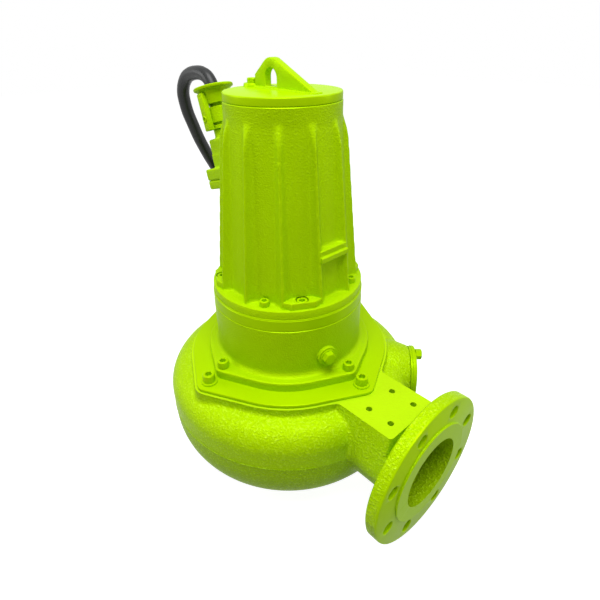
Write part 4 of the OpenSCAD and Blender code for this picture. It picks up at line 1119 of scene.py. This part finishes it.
@dataclass
class VoluteCasing:
    """Round sand casting with its discharge neck, flange, pad and hand hole neck."""

    casing_r: float = 191.5
    belly_r: float = 90.0
    belly_low_z: float = 22.0
    shoulder_r: float = 35.0
    wall: float = 11.0
    foot_r: float = 112.0
    suction_r: float = 80.0
    land_r: float = 155.6
    land_corner_r: float = 21.0
    cover_bore_r: float = 136.0
    neck_r: float = 58.0
    blend_r: float = 5.0
    fillet_r: float = 24.0
    pad_w: float = 91.0
    pad_end_x: float = 239.8
    flange_x: float = 274.4
    flange_r: float = 110.0
    flange_t: float = 18.0
    raised_r: float = 74.0
    raised_h: float = 3.0
    bore_r: float = 51.5
    bolt_circle_r: float = 90.0
    bolt_hole_r: float = 9.0
    hand_az: float = 43.0
    hand_x: float = 194.3
    hand_z: float = 147.0
    hand_r: float = 43.0
    hand_bore_r: float = 32.0
    parting_z: float = 127.0
    pad_holes: tuple[float, float, float] = (204.7, 17.7, 24.7)
    pad_hole_r: float = 4.25

    def section(self, inset: float) -> list[Pair]:
        """Half section of the casing, shrunk by an inset."""
        belly_x = self.casing_r - self.belly_r
        belly_z = self.belly_low_z + self.belly_r
        shoulder_x = self.casing_r - self.shoulder_r
        shoulder_z = CROWN_Z - self.shoulder_r
        return [
            (0.0, self.belly_low_z + inset),
            *arc((belly_x, belly_z), self.belly_r - inset, -90, 0, 32),
            *arc((shoulder_x, shoulder_z), self.shoulder_r - inset, 0, 90, 20),
            (0.0, CROWN_Z - inset),
        ]

    def at_discharge(self) -> Matrix:
        """Place with +Z along the discharge, at its height."""
        return shift(0.0, 0.0, DISCHARGE_Z) @ ALONG_X

    def hand_frame(self) -> Matrix:
        """Place of the hand hole's face, +Z out of the casing."""
        return shift(0.0, 0.0, self.hand_z) @ turn_z(self.hand_az) @ shift(self.hand_x, 0, 0) @ ALONG_X

    def flare(self, radius: float) -> list[Pair]:
        """Quarter arc on which the casing's side runs into the neck, casing end first."""
        foot_x = math.sqrt(self.casing_r**2 - self.neck_r**2) + radius / 2
        return [
            (
                self.neck_r + radius * (1 - math.cos(math.radians(a))),
                foot_x - radius * math.sin(math.radians(a)),
            )
            for a in range(90, -1, -10)
        ]

    def core(self) -> Form:
        """Casing, neck, pad, land and hand hole neck in one cast skin."""
        casing = Form.lathe(self.section(0.0), steps=180)
        foot = Form.rod(self.foot_r, self.belly_low_z - 2, 60.0, segments=96)
        land = Form.prism(lobed(self.land_r, self.land_corner_r, COVER_SCREW_X), CROWN_Z - 20, LAND_Z + 6)
        start = 120.0
        end = self.flange_x - self.flange_t
        neck = Form.lathe([
            (0.0, start), (self.neck_r + self.blend_r, start), *self.flare(self.blend_r),
            (self.neck_r, end - 7), (self.neck_r + 1.6, end - 3), (self.neck_r + 6, end + 4),
            (0.0, end + 4),
        ], steps=96).moved(self.at_discharge())
        low = Form.block((100.0, -160.0, 0.0), (300.0, 160.0, CROWN_Z))
        neck = neck.keep(low)
        pad = Form.block(
            (60.0, -self.pad_w / 2, DISCHARGE_Z), (self.pad_end_x, self.pad_w / 2, LAND_Z + 6)
        )
        hand = gathered([
            Form.rod(self.hand_r, -4.0, 0.0, segments=96),
            Form.rod(self.hand_r + 8, -24.0, -2.0, top=self.hand_r, segments=96),
            Form.rod(self.hand_r + 8, -90.0, -24.0, segments=96),
        ]).moved(self.hand_frame())
        upper = Form.rod(self.neck_r, 150.0, end - 1, segments=96).moved(self.at_discharge())
        cheek = math.sqrt(self.neck_r**2 - 12.0**2)
        sides = Form.prism([
            (DISCHARGE_Z - LAND_Z - 6, -self.pad_w / 2), (DISCHARGE_Z - LAND_Z - 6, self.pad_w / 2),
            (-12.0, cheek), (20.0, cheek - 6), (20.0, 6 - cheek), (-12.0, -cheek),
        ], 60.0, self.pad_end_x).moved(self.at_discharge())
        return gathered([
            casing, foot, land, neck, self.under_neck(), upper, sides, pad, hand
        ]).cast(2.4, 4)

    def under_neck(self) -> Form:
        """Wide fillet where the belly runs into the underside of the neck."""
        wide = self.fillet_r
        flare = self.flare(wide)
        foot = [(0.0, 120.0), (self.neck_r + wide, 120.0)]
        fillet = Form.lathe([*foot, *flare, (0.0, flare[-1][1])], steps=96)
        low = Form.block((100.0, -160.0, 0.0), (300.0, 160.0, DISCHARGE_Z - 22))
        return fillet.moved(self.at_discharge()).keep(low)

    def parting_ridge(self) -> Form:
        """Fin left at the joint of the mould's halves, round the open side of the casing."""
        x, z = self.casing_r, self.parting_z
        fin = Form.lathe([
            (x - 5, z - 0.9), (x + 0.2, z - 0.5), (x + 0.5, z + 0.2), (x - 5, z + 1.3)
        ], steps=180)
        away = Form.prism([(0.0, 0.0), (330.0, -200.0), (500.0, 0.0), (160.0, 330.0)], z - 9, z + 9)
        return fin.cut(away)

    def flange(self) -> Form:
        """Discharge flange: rough rim, turned front and raised face."""
        front, back = self.flange_x, self.flange_x - self.flange_t
        disc = Form.lathe([
            (0.0, back), (self.flange_r - 1.5, back), (self.flange_r, back + 1.5),
            (self.flange_r, front - 2.4), (self.flange_r - 0.7, front - 0.8),
            (self.flange_r - 2.4, front), (self.raised_r + 1.2, front), (self.raised_r, front + 0.6),
            (self.raised_r, front + self.raised_h - 1.0), (self.raised_r - 1.0, front + self.raised_h),
            (0.0, front + self.raised_h),
        ], steps=160).moved(self.at_discharge())
        return disc.finished(facing=(1.0, 0.0, 0.0))

    def bolt_hole(self) -> Form:
        """Cutter of one flange hole with its front edge broken."""
        r, front = self.bolt_hole_r, self.flange_x
        return Form.lathe([
            (0.0, front - self.flange_t - 3), (r, front - self.flange_t - 3), (r, front - 1.2),
            (r + 1.4, front + 0.2), (r + 1.4, front + 3), (0.0, front + 3),
        ], steps=36)

    def build(self) -> None:
        """Casts the casing, faces it and drills it."""
        casing = self.core()
        face = Form.block((-300.0, -300.0, LAND_Z), (300.0, 300.0, LAND_Z + 40)).finished(Face.MILLED)
        casing = casing.cut(face)
        casing = casing.join(self.flange())
        casing = casing.join(self.parting_ridge())
        cavity = Form.lathe(self.section(self.wall), steps=120)
        cover_bore = Form.rod(self.cover_bore_r, 160.0, LAND_Z + 20, segments=128).finished()
        casing = casing.cut(cavity)
        casing = casing.cut(cover_bore)
        bore = Form.rod(self.bore_r, 175.0, self.flange_x + 20, segments=96)
        spigot = Form.rod(self.suction_r, -5.0, 60.0, segments=96)
        casing = casing.cut(bore.moved(self.at_discharge()).finished(Face.CAST), spigot)
        bolts = gathered(
            self.bolt_hole().moved(
                self.at_discharge(), turn_z(22.5 + 45 * k), shift(self.bolt_circle_r, 0.0, 0.0)
            ).finished()
            for k in range(8)
        )
        middle, half_x, half_y = self.pad_holes
        pads = gathered(
            Form.rod(
                self.pad_hole_r, LAND_Z - 12, LAND_Z + 4, segments=24
            ).moved(shift(middle + sx * half_x, sy * half_y, 0.0))
            for sx in (-1, 1)
            for sy in (-1, 1)
        ).finished()
        hand = Form.rod(self.hand_bore_r, -45.0, 10.0, segments=64).moved(self.hand_frame()).finished()
        casing = casing.cut(bolts, pads, hand)
        place(casing, "volute_casting", Slot.ENAMEL, ["volute_casing"], COARSE)


@dataclass
class Screw:
    """Head and shank of one screw that stands on z = 0."""

    head_r: float
    head_h: float
    shank_r: float
    shank_h: float

    def socket_head(self) -> Form:
        """Round head with a hexagon socket."""
        r, h = self.head_r, self.head_h
        ease_r = min(1.2, h * 0.2)
        head = Form.lathe([
            (0.0, -self.shank_h),
            (self.shank_r, -self.shank_h),
            (self.shank_r, 0.0),
            (r - 0.3, 0.0),
            (r, 0.4),
            *[(r - ease_r + x, h - ease_r + y) for x, y in arc((0.0, 0.0), ease_r, 0, 90, 4)],
            (0.0, h),
        ], steps=40)
        across = r * 0.58
        key = Form.rod(across, h * 0.42, h + 2, segments=6)
        lead = Form.rod(across * 0.86, h - 0.7, h + 1.3, top=across * 1.3, segments=32)
        return head.cut(key).cut(lead)

    def hex_head(self) -> Form:
        """Hexagon head with its corners turned off, on a thin washer face."""
        flats, h = self.head_r, self.head_h
        corner = flats / math.cos(math.pi / 6)
        hexagon = Form.rod(corner, 0.0, h, segments=6)
        dome = Form.lathe([
            (0.0, -1.0), (corner + 1, -1.0), (corner + 1, h - 2.2), (corner - 0.2, h - 1.1),
            (flats - 0.4, h - 0.15), (flats - 1.2, h), (0.0, h),
        ], steps=48)
        head = hexagon.keep(dome)
        shank = Form.rod(self.shank_r, -self.shank_h, 0.6, segments=24)
        return head.join(shank)


@dataclass
class OilChamber:
    """Cast chamber with its lobed flange, its plug boss and the plug."""

    flange_r: float = 125.6
    corner_r: float = 11.6
    body_r: float = 110.2
    wall: float = 12.0
    plug_az: float = -13.7
    plug_z: float = 247.7
    boss_r: float = 14.6
    boss_x: float = 114.2
    spot_r: float = 10.4

    def plug_frame(self) -> Matrix:
        """Place of the boss face, +Z out of the chamber."""
        return shift(0.0, 0.0, self.plug_z) @ turn_z(self.plug_az) @ shift(self.boss_x, 0, 0) @ ALONG_X

    def build(self) -> None:
        """Casts the chamber and fits the plug."""
        top = BRACKET_Z
        body = Form.lathe([
            (0.0, OIL_Z - 5), (self.body_r - 2, OIL_Z - 5), (self.body_r + 6, OIL_FLANGE_Z - 1),
            (self.body_r + 3, OIL_FLANGE_Z + 1.5), (self.body_r + 0.6, OIL_FLANGE_Z + 4.5),
            (self.body_r, OIL_FLANGE_Z + 9), (self.body_r, top + 6), (0.0, top + 6),
        ], steps=160)
        flange = Form.prism(lobed(self.flange_r, self.corner_r, OIL_SCREW_X), OIL_Z - 5, OIL_FLANGE_Z)
        boss = Form.lathe([
            (0.0, -22.0), (self.boss_r, -22.0), (self.boss_r + 0.2, -1.2), (self.boss_r - 1.0, 0.0),
            (0.0, 0.0),
        ], steps=64).moved(self.plug_frame())
        chamber = gathered([body, flange]).cast(1.6, 2)
        ends = gathered([
            Form.block((-200, -200, OIL_Z - 30), (200, 200, OIL_Z)),
            Form.lathe([
                (0.0, top), (self.body_r - 1.3, top), (self.body_r + 1.4, top - 1.9), (200.0, top - 1.9),
                (200.0, top + 30), (0.0, top + 30),
            ]),
        ]).finished()
        chamber = chamber.cut(ends)
        chamber = chamber.join(boss)
        spot = drills(self.spot_r, OIL_FLANGE_Z - 0.25, OIL_FLANGE_Z + 14, OIL_SCREW_X, segments=48)
        seat = Form.rod(14.5, 0.0, 8.0).moved(self.plug_frame()).finished()
        hole = Form.rod(7.2, -30.0, 4.0).moved(self.plug_frame()).finished()
        bore = Form.rod(self.body_r - self.wall, OIL_Z - 10, top + 10, segments=96).finished()
        holes = drills(5.2, OIL_Z - 5, OIL_FLANGE_Z + 2, OIL_SCREW_X)
        chamber = chamber.cut(spot, seat)
        chamber = chamber.cut(bore, hole, holes)
        place(chamber, "oil_chamber_casting", Slot.ENAMEL, ["oil_chamber_housing"])
        plug = Screw(8.2, 8.5, 6.9, 16.0).hex_head()
        collar = Form.lathe([
            (7.0, -1.5), (10.6, -1.5), (11.0, -0.9), (11.0, 0.2), (10.4, 0.8), (7.0, 0.8)
        ], steps=48)
        plug = gathered([plug, collar]).moved(self.plug_frame(), shift(0.0, 0.0, 0.3))
        place(plug, "oil_plug_painted", Slot.BOLTS, ["oil_plug"], SPRAYED)


@dataclass
class Covers:
    """Casing cover, bearing bracket and top cover: turned and milled plates."""

    casing_r: float = 152.5
    corner_r: float = 18.0
    spigot_r: float = 135.9
    spigot_z: float = 177.0
    recess_r: float = 88.2
    shaft_r: float = 17.0
    bracket_r: float = 110.2
    bearing_r: float = 45.1
    cap_r: float = 72.4
    vent_x: float = -57.0

    def casing_cover(self) -> None:
        """Lobed plate with a turned spigot under it."""
        rim = Form.prism(lobed(self.casing_r, self.corner_r, COVER_SCREW_X), LAND_Z, OIL_Z)
        rim = rim.eased(1.3, 3).finished()
        r, low, high = self.spigot_r, self.spigot_z, LAND_Z + 1
        spigot = Form.lathe([(0.0, low), (r, low), (r, high), (0.0, high)])
        plate = rim.join(spigot.finished())
        recess = Form.rod(self.recess_r, low + 5, 230.0, segments=96)
        shaft = Form.rod(self.shaft_r, low - 7, 190.0, segments=48)
        groove = Form.lathe([(131.6, 189.4), (140.0, 189.4), (140.0, 194.8), (131.6, 194.8)])
        outer = drills(6.2, LAND_Z - 4, OIL_Z + 4, COVER_SCREW_X)
        inner = drills(5.2, 187.4, OIL_Z + 4, 124.5)
        plate = plate.cut(recess)
        plate = plate.cut(shaft, groove, outer, inner)
        place(plate.finished(), "casing_cover_plate", Slot.ENAMEL, ["casing_cover"])

    def bracket(self) -> None:
        """Bearing bracket: plain rim with a stepped top edge over a hidden web."""
        rim = Form.lathe([
            (0.0, BRACKET_Z - 8.0), (57.0, BRACKET_Z - 8.0), (57.0, BRACKET_Z), (98.1, BRACKET_Z),
            (98.1, BRACKET_Z - 6), (98.15, BRACKET_Z - 6), (98.15, BRACKET_Z),
            (self.bracket_r - 1.0, BRACKET_Z), (self.bracket_r - 0.5, BRACKET_Z + 0.6),
            (self.bracket_r - 0.5, MOTOR_Z - 2.6), (self.bracket_r - 1.1, MOTOR_Z - 1.9),
            (self.bracket_r - 1.1, MOTOR_Z - 0.8), (107.2, MOTOR_Z), (54.0, MOTOR_Z),
            (54.0, MOTOR_Z + 21), (0.0, MOTOR_Z + 21),
        ], steps=160).finished()
        bore = Form.rod(self.bearing_r, BRACKET_Z + 6, MOTOR_Z + 60, segments=96)
        shaft = Form.rod(22.0, BRACKET_Z - 1, BRACKET_Z + 10, segments=64)
        pocket = Form.rod(26.1, BRACKET_Z - 12, BRACKET_Z - 0.1, segments=64)
        rim = rim.cut(bore).cut(shaft).cut(pocket)
        tapped = [drills(4.2, MOTOR_Z - 12, MOTOR_Z + 5, MOTOR_SCREW_X, az) for az in (HEAD_AZ, LUG_AZ)]
        rim = rim.cut(*tapped)
        place(rim.finished(), "bearing_bracket_turned", Slot.ENAMEL, ["bearing_bracket"])

    def cap(self) -> None:
        """Top cover with a rounded rim and the boss of the vent plug."""
        r = self.cap_r
        cap = Form.lathe([
            (0.0, CAP_Z - 4),
            (62.4, CAP_Z - 4),
            (62.4, CAP_Z),
            (r - 0.9, CAP_Z),
            (r, CAP_Z + 0.9),
            *[(r - 1.6 + x, CAP_TOP_Z - 1.6 + y) for x, y in arc((0, 0), 1.6, 0, 90, 4)],
            (0.0, CAP_TOP_Z),
        ], steps=144).finished()
        boss = Form.lathe([
            (0.0, CAP_TOP_Z - 2), (12.8, CAP_TOP_Z - 2), (12.4, CAP_TOP_Z + 0.3), (12.0, CAP_TOP_Z + 3.0),
            (11.2, CAP_TOP_Z + 4.0), (0.0, CAP_TOP_Z + 4.0),
        ], steps=40).moved(shift(self.vent_x, 0, 0))
        cap = cap.join(boss.finished())
        inside = Form.rod(54.5, CAP_Z - 6, CAP_Z, segments=96)
        hole = Form.rod(4.2, CAP_Z - 10, CAP_TOP_Z + 10, segments=24).moved(shift(self.vent_x, 0, 0))
        cap = cap.cut(inside).cut(hole)
        place(cap.finished(), "top_cover_turned", Slot.ENAMEL, ["top_cover"])
        vent = Screw(7.0, 6.0, 4.0, 12.0).hex_head().moved(shift(self.vent_x, 0, CAP_TOP_Z + 4))
        place(vent, "vent_plug_painted", Slot.BOLTS, ["vent_plug"], SPRAYED)


@dataclass
class LiftingLug:
    """Plate with a broad round apex over an arched eye, welded to the top cover.

    Its left foot ends short of the vent plug.
    """

    thickness: float = 10.0
    height: float = 34.0
    length: float = 124.0
    middle: float = -2.5
    end: float = -46.35
    eye_x: float = -15.5
    eye_w: float = 21.0
    apex_r: float = 19.0
    bar: float = 11.0
    sill: float = 3.0

    def outline(self) -> list[Pair]:
        """Outer shape, foot first, about the middle of the eye."""
        peak = self.height - self.apex_r
        left = -self.length / 2 + self.middle - self.eye_x
        right = self.length / 2 + self.middle - self.eye_x
        end = self.end - self.eye_x

        def lean(reach: float) -> float:
            return math.degrees(
                math.atan(peak / reach) + math.asin(self.apex_r / math.hypot(reach, peak))
            )

        top = arc((0.0, peak), self.apex_r, 90 - lean(right), 90 + lean(-left), 24)
        rise = (end - left) * math.tan(math.radians(lean(-left)))
        return [(end, 0.0), (right, 0.0), *top, (end, rise)]

    def weld(self) -> Form:
        """Bead round the foot of the plate, a row of overlapping drops."""
        half, right = self.thickness / 2 + 0.3, self.length / 2 + self.middle
        path = [(x, side * half) for side in (-1, 1) for x in steps_of(self.end, right, 2.0)]
        path += [(right + 0.3, y) for y in steps_of(-half, half, 2.0)]
        drops = []
        for k, (x, y) in enumerate(path):
            # The bead was laid thick at the vent plug and thins out to the other end
            radius = 2.5 - 0.6 * (x - self.end) / (right - self.end) + 0.12 * math.sin(k * 2.3)
            drop = Form()
            bmesh.ops.create_icosphere(
                drop.mesh, subdivisions=2, radius=radius, matrix=Matrix.Translation((x, y, 0.0))
            )
            drops.append(drop)
        return gathered(drops)

    def build(self) -> None:
        """Cuts the plate, rounds its edges and lays the weld bead."""
        plate = Form.prism(self.outline(), -self.thickness / 2, self.thickness / 2)
        top = self.height - self.bar - self.eye_w / 2
        eye = [
            (-self.eye_w / 2, self.sill), (self.eye_w / 2, self.sill),
            *arc((0.0, top), self.eye_w / 2, 0, 180, 24),
        ]
        hole = Form.prism(eye, -20.0, 20.0)
        plate = plate.cut(hole).eased(1.0, 3, 50.0)
        stand = Matrix.Rotation(math.pi / 2, 4, "X")
        plate.moved(shift(self.eye_x, 0, CAP_TOP_Z), stand)
        floor_cut = Form.block((-100, -100, -20), (100, 100, 0.05))
        bead = self.weld().cast(0.7, 3).cut(floor_cut)
        bead.moved(shift(0, 0, CAP_TOP_Z - 0.05))
        lug = gathered([plate.finished(), bead.finished()])
        place(lug, "lifting_lug_welded", Slot.ENAMEL, ["lifting_lug"])


class Fasteners:
    """Screws and washers of the covers, all sprayed with the pump."""

    @staticmethod
    def ring_of(form: Form, start: float, x: float, z: float) -> Form:
        """Stands four copies of a form round the shaft, each tightened to its own angle."""
        return gathered(
            form.copy().moved(turn_z(start + 90 * k), shift(x, 0.0, z), turn_z((start + 37 * k) % 60))
            for k in range(4)
        )

    def build(self) -> None:
        """Makes each set of screws as one piece, as its CAD node is."""
        sets = [
            ("casing_cover_screws", Screw(8.5, 12.0, 6.0, 22.0), 0, COVER_SCREW_X, OIL_Z + WASHER_T),
            ("oil_chamber_screws", Screw(8.0, 11.0, 5.0, 22.0), 0, OIL_SCREW_X, OIL_FLANGE_Z),
            ("motor_flange_screws", Screw(6.5, 8.0, 4.0, 22.0), HEAD_AZ, MOTOR_SCREW_X, MOTOR_FLANGE_Z),
            ("bracket_screws", Screw(7.3, 9.0, 4.0, 22.0), LUG_AZ, MOTOR_SCREW_X, MOTOR_FLANGE_Z),
        ]
        for name, screw, start, x, z in sets:
            ring = self.ring_of(screw.socket_head(), start, x, z)
            place(ring, f"{name}_painted", Slot.BOLTS, [name], SPRAYED)
        washer = Form.lathe([
            (6.6, 0.0), (11.4, 0.0), (11.4, 2.0), (10.8, WASHER_T), (6.6, WASHER_T)
        ], steps=40)
        washers = self.ring_of(washer, 0, COVER_SCREW_X, OIL_Z)
        place(washers, "casing_cover_washers_painted", Slot.BOLTS, ["casing_cover_washers"], SPRAYED)


@dataclass
class HandHole:
    """Round cover with its gasket, painted over at the edge, and two bolts."""

    cover_r: float = 42.8
    cover_t: float = 6.4
    gasket_t: float = 3.0
    bolt_r: float = 36.2

    def build(self) -> None:
        """Turns the cover and sets its bolts."""
        casing = VoluteCasing()
        face, hole_r = casing.hand_frame(), casing.hand_bore_r
        low, high = self.gasket_t, self.gasket_t + self.cover_t
        r = self.cover_r
        cover = Form.lathe([
            (0.0, -10.0),
            (hole_r - 0.6, -10.0),
            (hole_r - 0.6, low),
            (r - 0.6, low),
            (r, low + 0.6),
            *[(r - 1.8 + x, high - 1.8 + y) for x, y in arc((0, 0), 1.8, 0, 90, 4)],
            (0.0, high),
        ], steps=96).finished()
        holes = gathered(
            Form.rod(5.2, -4.0, 20.0, segments=24).moved(shift(s * self.bolt_r, 0, 0)) for s in (-1, 1)
        )
        cover = cover.cut(holes).finished().moved(face)
        place(cover, "handhole_cover_turned", Slot.ENAMEL, ["handhole_cover"])
        gasket = Form.lathe([
            (hole_r, 0.0), (r - 1.0, 0.0), (r - 0.8, low / 2), (r - 1.0, low), (hole_r, low)
        ], steps=96)
        place(gasket.finished().moved(face), "handhole_gasket_painted", Slot.ENAMEL, ["handhole_gasket"])
        bolt = Screw(7.4, 9.6, 4.2, 22.0).hex_head()
        bolts = gathered(
            bolt.copy().moved(face, shift(s * self.bolt_r, 0, high), turn_z(14 * s)) for s in (-1, 1)
        )
        place(bolts, "handhole_bolts_painted", Slot.BOLTS, ["handhole_bolts"], SPRAYED)


@dataclass
class CadNodes:
    """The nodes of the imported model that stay, each with the finish of its slot."""

    cast: set[str] = field(
        default_factory=lambda: {
            "volute_casing", "oil_chamber_housing", "bearing_bracket", "motor_housing",
            "cable_entry_housing",
        }
    )

    def dress(self) -> None:
        """Gives every node a procedural finish in place of its plain one."""
        for name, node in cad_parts.items():
            for slot in node.material_slots:
                kind = slot.material.name if slot.material else Slot.ENAMEL.value
                slot.material = Finishes.of(self.finish(name, kind))
        log.info("dressed %d nodes", len(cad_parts))

    def finish(self, node: str, slot: str) -> Enamel | Plain | CableRubber:
        """Chooses the finish of one node from its name and its slot."""
        if slot.startswith(Slot.BOLTS.value) or node == "oil_plug_seal":
            return SCREW_ENAMEL
        for key, stock in STOCK.items():
            if slot.split(".")[0] == key:
                return stock
        if slot.startswith(Slot.CABLE.value):
            return CableRubber()
        return CAST_ENAMEL if node in self.cast else SMOOTH_ENAMEL


def main() -> None:
    """Builds the scene in order and reports each piece."""
    logging.basicConfig(level=logging.INFO, format="%(name)s: %(message)s")
    scene = bpy.context.scene
    scene.view_settings.view_transform = "Standard"
    studio = Studio()
    studio.camera()
    CableRun().build()
    studio.lamps()
    studio.surroundings()
    studio.floor(min(CAD_BOX[0][2], 0.0) - 0.0002)
    CadNodes().dress()
    MotorHousing().build()
    VoluteCasing().build()
    OilChamber().build()
    covers = Covers()
    covers.casing_cover()
    covers.bracket()
    covers.cap()
    LiftingLug().build()
    Fasteners().build()
    HandHole().build()
    CableEntry().build()


if __name__ == "__main__":
    main()
